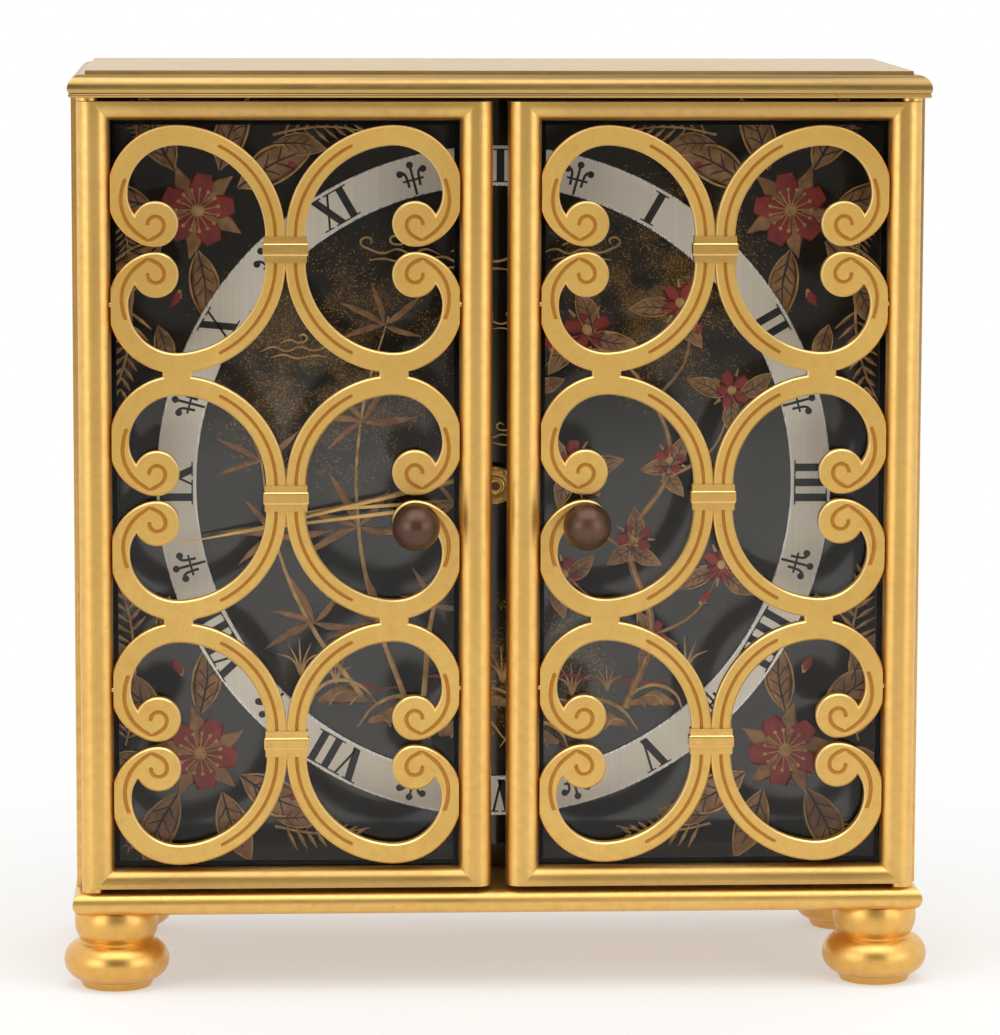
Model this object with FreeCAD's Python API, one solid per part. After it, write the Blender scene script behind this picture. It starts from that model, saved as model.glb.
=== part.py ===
import FreeCAD, Part
import math
import os

# Cabinet-shaped desk clock in gilt brass, in millimetres.
# It stands on z = 0 and faces -Y; x = 0 runs between its two doors.

Vec = FreeCAD.Vector

# Case
case_width = 189.0  # over the side panels
case_height = 177.3  # between base plate and cornice
cornice_depth = 80.0
cornice_overhang = 0.5  # beyond the side panels
cornice_height = 5.8
cornice_bead = 0.9  # thickness of the bead round the lower edge
cornice_bead_setback = 0.2  # behind the widest line of the moulding
cornice_quirk = 0.25  # how far the moulding is cut in above the bead
cornice_return = 1.0  # height of the lower curve, from the bead up to the widest line
cornice_ovolo = 3.1  # radius of the quarter-round above the widest line
cornice_ledge = 0.7  # flat between the quarter-round and the raised top
base_overhang = 0.8  # beyond the side panels
base_setback = 0.3  # behind the cornice's front edge
base_thickness = 5.1
side_thickness = 2.0
back_thickness = 2.0
back_inset = 1.5  # from the cornice's rear edge to the back panel's outer face
foot_height = 17.6
foot_bun_radius = 11.8
foot_ledge_radius = 8.8  # upper rim of the bun
foot_collar_radius = 9.4
foot_collar_share = 0.58  # where the upper bun is widest, of the way up from the neck
foot_neck_radius = 8.2
foot_top_radius = 8.9
foot_sole_radius = 8.5
foot_sole_height = 1.7
foot_neck_z = 10.8
foot_neck_slope = 0.5  # height of the slope from the bun's rim up to the neck
foot_side_inset = 9.5  # from the base plate's side to the foot's axis
foot_front_inset = 10.7

# Fits and screws
seat_fit = 0.02  # radial clearance of a fixed pin or dowel
running_fit = 0.05  # radial clearance of a turning pin or arbor
slip_gap = 0.1  # end play under a turning collar
tie_rod_radius = 2.0
tie_rod_spigot_radius = 1.5
tie_rod_spigot_length = 3.0
tie_rod_wall_gap = 0.5  # between a rod and the side panel
base_screw_radius = 1.5
base_screw_head_radius = 2.9
base_screw_head_height = 1.4
base_screw_grip = 7.0  # length that screws into the foot or the rod
rear_screw_radius = 1.0
rear_screw_head_radius = 2.0
rear_screw_head_height = 0.9
rear_screw_grip = 2.6
dial_screw_radius = 0.85
dial_screw_head_radius = 1.7
dial_screw_head_height = 1.2
dial_screw_grip = 1.0
dial_screw_offset = 70.0  # above and below the dial centre
movement_screw_radius = 1.0
movement_screw_head_radius = 2.2
movement_screw_head_height = 1.2
movement_screw_grip = 4.0

# Doors
door_gap_bottom = 1.1
door_gap_top = 0.9
door_side_inset = 1.3  # from the case's side to the door's outer edge
door_meeting_gap = 3.44
door_setback = 1.0  # from the cornice's front edge to the door's face
door_thickness = 7.0
door_clearance = 0.8  # between the door's back and the side panels
door_stile = 7.3
door_rail = 4.2
door_face_round = 3.2  # rounded outer edges of the face
door_heel_round = 1.5  # rounded rear edge on the pivot side
door_sight_round = 3.2  # rounded edge round the opening
hinge_inset = 2.4  # from the door's outer edge to the pivot
pivot_radius = 1.2
pivot_collar_radius = 2.45
pivot_depth = 6.0  # length of the pin inside the door
pivot_root = 3.0  # length of the pin inside base or cornice
glass_rebate = 2.0
glass_thickness = 1.5
retainer_width = 3.0
glass_edge_gap = 0.1

# Scroll grilles
grille_rows = 3
grille_recess = 1.0  # behind the door's face
grille_thickness = 2.6
grille_chamfer = 0.35
scroll_band = 4.4
scroll_rail_gap = 1.0  # between the crowns and the door's rails
scroll_neck_gap = 0.5  # between crowns of neighbouring rows
scroll_neck_width = 6.4  # of the bridge that joins them
scroll_trim = 0.6  # filed off the flanks where they meet the stiles
scroll_crown_radius = 17.0
scroll_lobe_radius = 12.9
scroll_curl_radius = 6.0
volute_radius = 5.0
volute_gap = 1.2  # between the upper and the lower volute
volute_inset = 9.9  # from the stile to the volute's centre
groove_width = 0.95  # at the face
groove_depth = 0.45
groove_floor_share = 0.35  # width of the bottom, of the width at the face
groove_inner_offset = 1.2  # from the middle of the band, where the line starts on the lobe
groove_outer_offset = 0.9  # to the other side of the middle, where it enters the volute
groove_eye_radius = 1.7
arm_groove_width = 0.8
collar_height = 5.8
collar_band_height = 2.9
collar_wall = 0.3
collar_swell = 0.3  # how far the middle band stands out
grille_pin_radius = 0.6
grille_pin_bite = 1.5  # length inside the scroll
grille_pin_cover = 0.8  # metal between a pin's end and the stile's outer edge
knob_radius = 5.3
knob_stem_radius = 1.5
knob_stem_length = 2.0
knob_collar_radius = 2.7
knob_sink = 0.7  # how far the stem's shoulder sinks into the ball

# Dial and hands
dial_depth = 29.0  # from the cornice's front edge to the dial's face
dial_thickness = 1.5
dial_edge_gap = 0.3
ring_outer_radius = 76.6
ring_inner_radius = 67.6
ring_thickness = 1.0
ring_foot_radius = 0.8
ring_foot_count = 4
dial_hole_radius = 3.2
hour_hand_length = 51.0
minute_hand_length = 74.0
hand_thickness = 0.6
hand_hub_radius = 4.2
hand_bar_width = 1.0
hand_bar_spacing = 6.4  # between the two bars, level with the arbor
hand_needle_share = 0.3  # part of the hand beyond the point where its bars meet
hour_hand_standoff = 1.8  # from the ring's face to the hour hand
hand_spacing = 1.2  # from the hour hand to the minute hand
hand_nut_radius = 2.2
hand_nut_height = 1.2
time_shown_minutes = 8 * 60 + 43.3

# Movement
motion_space = 5.5  # from the dial's back to the front plate
plate_thickness = 2.0
plate_radius = 43.0
train_end_gap = 1.8  # from the centre wheel to the back plate
pillar_radius = 3.0
pillar_inset = 5.0  # from the plate's edge to the pillar's axis
post_radius = 2.5
post_spigot_radius = 1.2
post_spigot_length = 1.0
arbor_radius = 0.75
centre_arbor_radius = 1.0
cannon_radius = 1.7
hour_pipe_radius = 2.5
barrel_arbor_radius = 2.5
barrel_pivot_radius = 1.75  # the arbor's thinner ends
barrel_height = 12.0
barrel_wall = 1.2
barrel_floor = 1.0
barrel_rim_height = 2.0
mainspring_thickness = 0.4
mainspring_pitch = 1.28
mainspring_turns = 10
hairspring_thickness = 0.15
hairspring_pitch = 0.6
hairspring_turns = 5
hairspring_inner_radius = 1.5
hairspring_height = 0.7
balance_radius = 7.2
balance_rim_width = 1.0
balance_rim_height = 1.4
escape_teeth = 15
escape_radius = 5.5
escape_tooth_depth = 1.4
pallet_opening = 0.5  # between the pallets and the circle of the escape teeth
lever_length = 9.7  # from the lever's pivot to the balance
lever_thickness = 0.8
lever_boss_radius = 1.3
lever_arm_width = 0.9
lever_arm_angle = 35.0  # from the line of centres to each pallet, seen from the escape wheel
lever_fork_share = 0.75  # of the way from the lever's pivot to the balance
lever_horn_length = 1.2
pallet_radius = 0.6
roller_radius = 1.6
balance_arm_width = 1.4
ratchet_teeth = 24
ratchet_radius = 9.0
ratchet_tooth_depth = 1.0
ratchet_thickness = 1.5
click_distance = 14.5  # from the barrel arbor to the click's pivot
click_opening = 0.2  # between the click's nose and the ratchet's tips
click_boss_radius = 2.4
click_arm_width = 1.6
click_nose_radius = 0.8
click_nose_angle = 22.0  # from the click's pivot to its nose, seen from the barrel arbor
click_spring_thickness = 0.4
click_spring_foot_radius = 2.0
click_spring_foot_height = 0.8
click_spring_reach = 11.0  # from the click's pivot to the spring's screw
click_spring_angle = 60.0
click_spring_gap = 1.2  # room for the click's lift
barrel_level = 2.0  # from the front plate to the barrel
third_level = 10.0  # from the front plate to the third wheel and the escape wheel
fourth_level = 5.0
barrel_gap = 1.0  # from the barrel to the centre wheel
balance_level = 13.0
hairspring_gap = 1.0  # from the balance rim to its spring
motion_gap = 0.8  # between plate, minute wheel and hour wheel
ratchet_gap = 0.3  # from the back plate to the ratchet wheel
wheel_thickness = 1.2
wheel_rim = 1.6
wheel_hub_radius = 2.6
wheel_arm_width = 1.6
wheel_arms = 4
leaf_excess = 0.5  # a pinion is longer than the wheel is thick, at each end
set_knob_radius = 6.0
set_knob_height = 6.5
set_knob_flutes = 16
key_hub_radius = 3.6
key_hub_height = 4.5
key_wing_span = 26.0
key_wing_height = 6.5
key_wing_thickness = 2.2
rear_cover_flange = 5.0  # width outside the opening
rear_cover_hole_radius = 48.0  # round opening in the back panel
rear_cover_thickness = 1.2
rear_cover_lip = 3.0
rear_cover_screw_count = 4
cover_arbor_hole_radius = 4.2
rear_standoff = 1.3  # from the rear cover to the set knob and the key

# Wheel and pinion pairs
barrel_module = 0.5
barrel_teeth = 72
centre_leaves = 12
centre_module = 0.4
centre_teeth = 80
third_leaves = 10
third_module = 0.35
third_teeth = 75
fourth_leaves = 10
fourth_module = 0.3
fourth_teeth = 70
escape_leaves = 7
cannon_module = 0.5
cannon_leaves = 12
minute_teeth = 36
hour_module = 0.48
minute_leaves = 10
hour_teeth = 40
tooth_root_share = 0.56  # of the pitch, at the foot of a tooth
tooth_tip_share = 0.18
tooth_addendum = 1.0  # in modules
tooth_dedendum = 1.25

# Directions in the XZ plane from one arbor to the next, in degrees from +X towards +Z
barrel_direction = -90.0
third_direction = 150.0
fourth_direction = 50.0
escape_direction = -10.0
balance_direction = -22.0
minute_wheel_direction = -30.0
click_direction = 25.0
cock_direction = 30.0
cock_width = 8.0
cock_foot_width = 12.0
cock_foot_depth = 5.0
cock_edge_margin = 1.0  # from the cock's foot to the plate's edge
cock_screw_spacing = 7.0
cock_window_margin = 1.3  # round the balance, in the back plate

# Heights and planes that follow from the sizes above
cornice_width = case_width + 2 * cornice_overhang
base_width = case_width + 2 * base_overhang
base_depth = cornice_depth - 2 * base_setback
foot_x = base_width / 2 - foot_side_inset
foot_y = base_depth / 2 - foot_front_inset
base_z = foot_height
case_z = base_z + base_thickness
cornice_z = case_z + case_height
door_z = case_z + door_gap_bottom
door_height = case_height - door_gap_bottom - door_gap_top
door_width = case_width / 2 - door_side_inset - door_meeting_gap / 2
door_face_y = -cornice_depth / 2 + door_setback
door_back_y = door_face_y + door_thickness
hinge_x = case_width / 2 - door_side_inset - hinge_inset
hinge_y = (door_face_y + door_back_y) / 2
side_front_y = door_back_y + door_clearance
back_face_y = cornice_depth / 2 - back_inset
back_front_y = back_face_y - back_thickness
inner_half_width = case_width / 2 - side_thickness
opening_width = door_width - 2 * door_stile
opening_height = door_height - 2 * door_rail
opening_x = door_meeting_gap / 2 + door_width / 2  # centre of the right door
centre_z = door_z + door_height / 2
grille_face_y = door_face_y + grille_recess
grille_back_y = grille_face_y + grille_thickness
collar_reach = collar_wall + collar_swell
glass_y = grille_back_y + collar_reach + glass_edge_gap
dial_face_y = -cornice_depth / 2 + dial_depth
dial_back_y = dial_face_y + dial_thickness
ring_face_y = dial_face_y - ring_thickness
hour_hand_y = ring_face_y - hour_hand_standoff - hand_thickness
minute_hand_y = hour_hand_y - hand_spacing - hand_thickness
front_plate_y = dial_back_y + motion_space
train_y = front_plate_y + plate_thickness  # inner face of the front plate
centre_wheel_y = train_y + barrel_level + barrel_height + barrel_gap
back_plate_y = centre_wheel_y + wheel_thickness + train_end_gap
movement_back_y = back_plate_y + plate_thickness
cover_face_y = back_face_y + rear_cover_thickness
rear_cover_radius = rear_cover_hole_radius + rear_cover_flange
rear_y = cover_face_y + rear_standoff
rod_x_position = inner_half_width - tie_rod_wall_gap - tie_rod_radius
front_rod_y = dial_back_y + tie_rod_radius + seat_fit
rear_rod_y = back_front_y - tie_rod_radius - seat_fit
row_room = opening_height - 2 * scroll_rail_gap + scroll_neck_gap
row_pitch = row_room / grille_rows


def block(x0, x1, y0, y1, z0, z1):
    return Part.makeBox(x1 - x0, y1 - y0, z1 - z0, Vec(x0, y0, z0))


def rod_along_x(radius, y, z, x0, x1):
    return Part.makeCylinder(radius, x1 - x0, Vec(x0, y, z), Vec(1, 0, 0))


def rod_along_y(radius, x, z, y0, y1):
    return Part.makeCylinder(radius, y1 - y0, Vec(x, y0, z), Vec(0, 1, 0))


def rod_along_z(radius, x, y, z0, z1):
    return Part.makeCylinder(radius, z1 - z0, Vec(x, y, z0), Vec(0, 0, 1))


def fused(solids):
    return solids[0].fuse(solids[1:]).removeSplitter()


def to_left(shape):
    """The same piece on the clock's other side."""
    return shape.mirror(Vec(0, 0, 0), Vec(1, 0, 0))


def step_from(point, direction, distance):
    """A point in the XZ plane, reached from another one."""
    angle = math.radians(direction)
    return point[0] + distance * math.cos(angle), point[1] + distance * math.sin(angle)


def mitred_plate(width, depth, z0, edge):
    """A plate whose moulded edge runs round it with mitred corners.

    The edge is given from bottom to top as (reach, height) points, where reach is counted
    outwards from the plate's half size; a third and fourth value make that step an arc and
    name the point that it passes through.
    """
    reach = max(point[0] for point in edge)
    prisms = []
    for half, across in ((width / 2, depth), (depth / 2, width)):
        sides = []
        for sign in (1, -1):
            spots = [Vec(sign * (half + p[0]), 0, z0 + p[1]) for p in edge]
            for last, spot, p in zip(spots, spots[1:], edge[1:]):
                if len(p) == 4:
                    through = Vec(sign * (half + p[2]), 0, z0 + p[3])
                    sides.append(Part.Arc(last, through, spot).toShape())
                else:
                    sides.append(Part.LineSegment(last, spot).toShape())
        low, high = z0 + edge[0][1], z0 + edge[-1][1]
        for rim, height in ((edge[0][0], low), (edge[-1][0], high)):
            line = Part.LineSegment(Vec(-half - rim, 0, height), Vec(half + rim, 0, height))
            sides.append(line.toShape())
        face = Part.Face(Part.Wire(Part.__sortEdges__(sides)))
        run = across + 2 * max(reach, 0.0) + 2.0
        prism = face.extrude(Vec(0, run, 0))
        prism.translate(Vec(0, -run / 2, 0))
        prisms.append(prism)
    prisms[1].rotate(Vec(0, 0, 0), Vec(0, 0, 1), 90)
    return prisms[0].common(prisms[1])


def arc_edge(centre_x, centre_z, radius, start, end, y):
    """An arc in the XZ plane between two angles in degrees."""
    spots = []
    for angle in (start, (start + end) / 2, end):
        x, z = step_from((centre_x, centre_z), angle, radius)
        spots.append(Vec(x, y, z))
    return Part.Arc(*spots).toShape()


def ends_of(edge):
    return edge.Vertexes[0].Point, edge.Vertexes[-1].Point


def joined_wire(edges):
    """One closed wire from arcs in order, with straight lines across the gaps."""
    pieces = []
    for edge, following in zip(edges, edges[1:] + edges[:1]):
        pieces.append(edge)
        end, start = ends_of(edge)[1], ends_of(following)[0]
        if end.distanceToPoint(start) > 1e-6:
            pieces.append(Part.LineSegment(end, start).toShape())
    return Part.Wire(Part.__sortEdges__(pieces))


# Case


def cornice_top():
    bead_in = cornice_bead_setback + cornice_quirk
    wide_z = cornice_bead + cornice_return
    radius = (bead_in**2 + cornice_return**2) / (2 * bead_in)
    turn = math.asin(cornice_return / radius) / 2
    lower_bow = (radius * (math.cos(turn) - 1), wide_z - radius * math.sin(turn))
    crown_z = wide_z + cornice_ovolo
    bow = cornice_ovolo * (1 - math.sqrt(0.5))
    top_in = cornice_ovolo + cornice_ledge
    edge = [
        (-bead_in, 0.0),
        (-bead_in, cornice_bead, -cornice_bead_setback, cornice_bead / 2),
        (0.0, wide_z) + lower_bow,
        (-cornice_ovolo, crown_z, -bow, crown_z - bow),
        (-top_in, crown_z),
        (-top_in, cornice_height),
    ]
    plate = mitred_plate(cornice_width, cornice_depth, cornice_z, edge)
    holes = []
    for x in (-rod_x_position, rod_x_position):
        for y in (front_rod_y, rear_rod_y):
            depth = tie_rod_spigot_length + slip_gap
            holes.append(rod_along_z(tie_rod_spigot_radius + seat_fit, x, y, cornice_z, cornice_z + depth))
    for x in (-hinge_x, hinge_x):
        holes.append(rod_along_z(pivot_radius + seat_fit, x, hinge_y, cornice_z, cornice_z + pivot_root))
    return plate.cut(holes)


def base_plate():
    nose = base_thickness / 2
    edge = [(-nose, 0.0), (-nose, base_thickness, 0.0, nose)]
    plate = mitred_plate(base_width, base_depth, base_z, edge)
    holes = []
    for x in (-foot_x, foot_x):
        for y in (-foot_y, foot_y):
            holes.append(rod_along_z(base_screw_radius + seat_fit, x, y, base_z, case_z))
            head = case_z - base_screw_head_height
            holes.append(rod_along_z(base_screw_head_radius + seat_fit, x, y, head, case_z))
    for x in (-rod_x_position, rod_x_position):
        for y in (front_rod_y, rear_rod_y):
            holes.append(rod_along_z(base_screw_radius + seat_fit, x, y, base_z, case_z))
            head = base_z + base_screw_head_height
            holes.append(rod_along_z(base_screw_head_radius + seat_fit, x, y, base_z, head))
    for x in (-hinge_x, hinge_x):
        holes.append(rod_along_z(pivot_radius + seat_fit, x, hinge_y, case_z - pivot_root, case_z))
    return plate.cut(holes)


def case_side_right():
    return block(inner_half_width, case_width / 2, side_front_y, back_face_y, case_z, cornice_z)


def rear_screw_places():
    """(x, z, y of the seat) of the screws in the back panel and in its round cover."""
    places = []
    for x in (-rod_x_position, rod_x_position):
        for z in (centre_z - dial_screw_offset, centre_z + dial_screw_offset):
            places.append((x, z, back_face_y))
    ring = (rear_cover_radius + rear_cover_hole_radius) / 2
    for i in range(rear_cover_screw_count):
        x, z = step_from((0, centre_z), 45 + 360 * i / rear_cover_screw_count, ring)
        places.append((x, z, cover_face_y))
    return places


def back_panel():
    half = inner_half_width
    panel = block(-half, half, back_front_y, back_face_y, case_z, cornice_z)
    holes = [rod_along_y(rear_cover_hole_radius, 0, centre_z, back_front_y, back_face_y)]
    for x, z, seat in rear_screw_places():
        holes.append(rod_along_y(rear_screw_radius + seat_fit, x, z, back_front_y, back_face_y))
    return panel.cut(holes)


def rear_cover():
    lip_radius = rear_cover_hole_radius - running_fit
    disc = rod_along_y(rear_cover_radius, 0, centre_z, back_face_y, cover_face_y)
    lip = rod_along_y(lip_radius, 0, centre_z, back_face_y - rear_cover_lip, back_face_y)
    hollow_radius = lip_radius - rear_cover_thickness
    hollow = rod_along_y(hollow_radius, 0, centre_z, back_face_y - rear_cover_lip, back_face_y)
    holes = [hollow]
    for x, z in (centre, barrel_centre):
        holes.append(rod_along_y(cover_arbor_hole_radius, x, z, back_face_y, cover_face_y))
    for x, z, seat in rear_screw_places()[-rear_cover_screw_count:]:
        holes.append(rod_along_y(rear_screw_radius + seat_fit, x, z, back_face_y, cover_face_y))
    rim = [edge for edge in disc.Edges if abs(edge.BoundBox.YMin - cover_face_y) < 1e-6]
    return disc.makeFillet(rear_cover_thickness / 2, rim).fuse(lip).cut(holes)


def rear_screws():
    screws = []
    for x, z, seat in rear_screw_places():
        tip = back_front_y
        if seat == back_face_y:
            tip -= rear_screw_grip
        shank = rod_along_y(rear_screw_radius, x, z, tip, seat)
        head = rod_along_y(rear_screw_head_radius, x, z, seat, seat + rear_screw_head_height)
        screws.append(shank.fuse(head).removeSplitter())
    return screws


def tie_rods():
    rods = []
    heights = (centre_z - dial_screw_offset, centre_z + dial_screw_offset)
    for x in (-rod_x_position, rod_x_position):
        for y in (front_rod_y, rear_rod_y):
            rod = rod_along_z(tie_rod_radius, x, y, case_z, cornice_z)
            spigot_z = cornice_z + tie_rod_spigot_length
            rod = rod.fuse(rod_along_z(tie_rod_spigot_radius, x, y, cornice_z, spigot_z))
            holes = [rod_along_z(base_screw_radius + seat_fit, x, y, case_z, case_z + base_screw_grip)]
            for z in heights:
                if y == front_rod_y:
                    radius = dial_screw_radius + seat_fit
                    holes.append(rod_along_y(radius, x, z, y - tie_rod_radius, y + tie_rod_radius))
                else:
                    radius = rear_screw_radius + seat_fit
                    end = back_front_y - rear_screw_grip - seat_fit
                    holes.append(rod_along_y(radius, x, z, end, y + tie_rod_radius))
            rods.append(rod.cut(holes))
    return rods


def base_screws():
    """Screws down into the feet, and screws up into the tie rods."""
    screws = []
    for x in (-foot_x, foot_x):
        for y in (-foot_y, foot_y):
            shank = rod_along_z(base_screw_radius, x, y, base_z - base_screw_grip, case_z)
            head = rod_along_z(base_screw_head_radius, x, y, case_z - base_screw_head_height, case_z)
            screws.append(shank.fuse(head).removeSplitter())
    for x in (-rod_x_position, rod_x_position):
        for y in (front_rod_y, rear_rod_y):
            shank = rod_along_z(base_screw_radius, x, y, base_z, case_z + base_screw_grip)
            head = rod_along_z(base_screw_head_radius, x, y, base_z, base_z + base_screw_head_height)
            screws.append(shank.fuse(head).removeSplitter())
    return screws


def bun_foot(x, y):
    """A turned foot: sole, wide lower bun, neck and narrower upper bun."""
    rim_z = foot_neck_z - foot_neck_slope
    bun_z = (foot_sole_height + rim_z) / 2
    collar_z = foot_neck_z + foot_collar_share * (foot_height - foot_neck_z)
    spots = [
        Vec(0, 0, 0),
        Vec(foot_sole_radius - foot_sole_height / 2, 0, 0),
        Vec(foot_sole_radius, 0, foot_sole_height),
        Vec(foot_bun_radius, 0, bun_z),
        Vec(foot_ledge_radius, 0, rim_z),
        Vec(foot_neck_radius, 0, foot_neck_z),
        Vec(foot_collar_radius, 0, collar_z),
        Vec(foot_top_radius, 0, foot_height),
        Vec(0, 0, foot_height),
    ]
    edges = [
        Part.LineSegment(spots[0], spots[1]).toShape(),
        Part.LineSegment(spots[1], spots[2]).toShape(),
        Part.Arc(spots[2], spots[3], spots[4]).toShape(),
        Part.LineSegment(spots[4], spots[5]).toShape(),
        Part.Arc(spots[5], spots[6], spots[7]).toShape(),
        Part.LineSegment(spots[7], spots[8]).toShape(),
        Part.LineSegment(spots[8], spots[0]).toShape(),
    ]
    foot = Part.Face(Part.Wire(edges)).revolve(Vec(0, 0, 0), Vec(0, 0, 1), 360)
    hole_z = foot_height - base_screw_grip - slip_gap
    foot = foot.cut(rod_along_z(base_screw_radius + seat_fit, 0, 0, hole_z, foot_height))
    foot.translate(Vec(x, y, 0))
    return foot


# Doors, built on the right-hand side


def door_pivots():
    pivots = []
    for x in (-hinge_x, hinge_x):
        for seat, up, gap in ((case_z, 1, door_gap_bottom), (cornice_z, -1, door_gap_top)):
            ends = sorted((seat - up * pivot_root, seat + up * (gap + pivot_depth)))
            pin = rod_along_z(pivot_radius, x, hinge_y, *ends)
            ends = sorted((seat, seat + up * (gap - slip_gap)))
            collar = rod_along_z(pivot_collar_radius, x, hinge_y, *ends)
            pivots.append(pin.fuse(collar).removeSplitter())
    return pivots


def sight_opening():
    """The tool that cuts a door's opening, with the rounded and mitred sight edge."""
    bow = door_sight_round * (1 - math.sqrt(0.5))
    edge = [
        (0.0, -slip_gap),
        (0.0, door_thickness - door_sight_round),
        (door_sight_round, door_thickness, bow, door_thickness - bow),
        (door_sight_round, door_thickness + slip_gap),
    ]
    tool = mitred_plate(opening_width, opening_height, 0, edge)
    tool.rotate(Vec(0, 0, 0), Vec(1, 0, 0), 90)
    tool.translate(Vec(opening_x, door_back_y, centre_z))
    return tool


def grille_pin_places():
    """(x where the pin starts, x where it ends, z) of the dowels through the stiles."""
    heights = (row_heights()[0] + side_v, row_heights()[-1] - side_v)
    inner, outer = opening_width / 2 - grille_pin_bite, door_width / 2 - grille_pin_cover
    places = []
    for z in heights:
        places.append((opening_x + inner, opening_x + outer, z))
        places.append((opening_x - outer, opening_x - inner, z))
    return places


def grille_pin_tools(radius):
    y = (grille_face_y + grille_back_y) / 2
    return [rod_along_x(radius, y, z, x0, x1) for x0, x1, z in grille_pin_places()]


def upright_edges(shape, x, y):
    """The straight edge that stands at this x and y."""
    found = []
    for edge in shape.Edges:
        box = edge.BoundBox
        if abs(box.Center.x - x) < 1e-6 and abs(box.Center.y - y) < 1e-6:
            found.append(edge)
    return found


def door_frame():
    x0, x1 = opening_x - door_width / 2, opening_x + door_width / 2
    frame = block(x0, x1, door_face_y, door_back_y, door_z, door_z + door_height)
    faces = upright_edges(frame, x0, door_face_y) + upright_edges(frame, x1, door_face_y)
    frame = frame.makeFillet(door_face_round, faces)
    frame = frame.makeFillet(door_heel_round, upright_edges(frame, x1, door_back_y))
    half_w = opening_width / 2 + glass_rebate
    half_h = opening_height / 2 + glass_rebate
    rebate = block(
        opening_x - half_w, opening_x + half_w, glass_y, door_back_y, centre_z - half_h, centre_z + half_h
    )
    depth = pivot_depth + slip_gap
    top = door_z + door_height
    tools = [
        sight_opening(),
        rebate,
        rod_along_z(pivot_radius + running_fit, hinge_x, hinge_y, door_z, door_z + depth),
        rod_along_z(pivot_radius + running_fit, hinge_x, hinge_y, top - depth, top),
    ]
    return frame.cut(tools + grille_pin_tools(grille_pin_radius + seat_fit))


def door_glass():
    half_w = opening_width / 2 + glass_rebate - glass_edge_gap
    half_h = opening_height / 2 + glass_rebate - glass_edge_gap
    y1 = glass_y + glass_thickness
    return block(opening_x - half_w, opening_x + half_w, glass_y, y1, centre_z - half_h, centre_z + half_h)


def glass_retainer():
    half_w = opening_width / 2 + glass_rebate - glass_edge_gap
    half_h = opening_height / 2 + glass_rebate - glass_edge_gap
    y0, y1 = glass_y + glass_thickness, door_back_y - glass_edge_gap
    inner_w, inner_h = half_w - retainer_width, half_h - retainer_width
    ring = block(opening_x - half_w, opening_x + half_w, y0, y1, centre_z - half_h, centre_z + half_h)
    hole = block(opening_x - inner_w, opening_x + inner_w, y0, y1, centre_z - inner_h, centre_z + inner_h)
    return ring.cut(hole)


# Scroll grille: every C-scroll is a chain of tangent arcs, drawn in the upper right quarter of a row
# with u counted from the collar towards the stile and v upwards from the row's centre line.

scroll_half_width = opening_width / 2 - seat_fit
arm_u = scroll_band / 2
arm_v = collar_height / 2
side_u = scroll_half_width + scroll_trim - scroll_band / 2
top_u = side_u - scroll_lobe_radius
top_v = (row_pitch - scroll_neck_gap - scroll_band) / 2
side_v = top_v - scroll_lobe_radius
volute_u = scroll_half_width - volute_inset
volute_v = volute_gap / 2 + volute_radius
tail_v = volute_v - volute_radius + scroll_band / 2


def larger_radius(across, along, smaller):
    """Radius of the arc that, tangent to a smaller one, makes a quarter turn of this size."""
    return (across**2 + along**2 - 2 * along * smaller) / (2 * (across - smaller))


def scroll_arcs():
    """(centre u, centre v, radius, start angle, end angle) along the middle of the band."""
    arm = larger_radius(top_u - arm_u, top_v - arm_v, scroll_crown_radius)
    crown_v = top_v - scroll_crown_radius
    crown_angle = math.degrees(math.atan2(crown_v - arm_v, top_u - arm_u - arm))
    flank = larger_radius(side_u - volute_u, side_v - tail_v, scroll_curl_radius)
    curl_v = tail_v + scroll_curl_radius
    flank_angle = math.degrees(math.atan2(curl_v - side_v, volute_u - side_u + flank))
    return [
        (arm_u + arm, arm_v, arm, 180.0, crown_angle),
        (top_u, crown_v, scroll_crown_radius, crown_angle, 90.0),
        (top_u, side_v, scroll_lobe_radius, 90.0, 0.0),
        (side_u - flank, side_v, flank, 0.0, flank_angle),
        (volute_u, curl_v, scroll_curl_radius, flank_angle, -90.0),
    ]


def crotch_angles(arc, half_band, disc_radius):
    """Where the volute meets the inner side of the flank: angles on the flank and on the volute."""
    flank_radius = arc[2] - half_band
    du, dv = arc[0] - volute_u, arc[1] - volute_v
    apart = math.hypot(du, dv)
    along = (apart**2 + disc_radius**2 - flank_radius**2) / (2 * apart)
    aside = math.sqrt(disc_radius**2 - along**2)
    u = volute_u + (along * du + aside * dv) / apart
    v = volute_v + (along * dv - aside * du) / apart
    on_flank = math.degrees(math.atan2(v - arc[1], u - arc[0]))
    on_disc = math.degrees(math.atan2(v - volute_v, u - volute_u))
    return on_flank, on_disc


def scroll_outline(inset, y):
    """Outline of one C-scroll with its volute, drawn in by the inset."""
    arcs = scroll_arcs()
    half = scroll_band / 2 - inset
    disc = volute_radius - inset
    on_flank, on_disc = crotch_angles(arcs[3], half, disc)
    outer = [arc_edge(u, v, radius + half, start, end, y) for u, v, radius, start, end in arcs]
    outer.append(arc_edge(volute_u, volute_v, disc, -90.0, on_disc - 360.0, y))
    u, v, radius, start, end = arcs[3]
    inner = [arc_edge(u, v, radius - half, on_flank, start, y)]
    for u, v, radius, start, end in reversed(arcs[:3]):
        inner.append(arc_edge(u, v, radius - half, end, start, y))
    foot_out = Part.LineSegment(Vec(arm_u - half, y, 0), Vec(arm_u - half, y, arm_v)).toShape()
    foot_in = Part.LineSegment(Vec(arm_u + half, y, arm_v), Vec(arm_u + half, y, 0)).toShape()
    return joined_wire([foot_out] + outer + inner + [foot_in])


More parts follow.
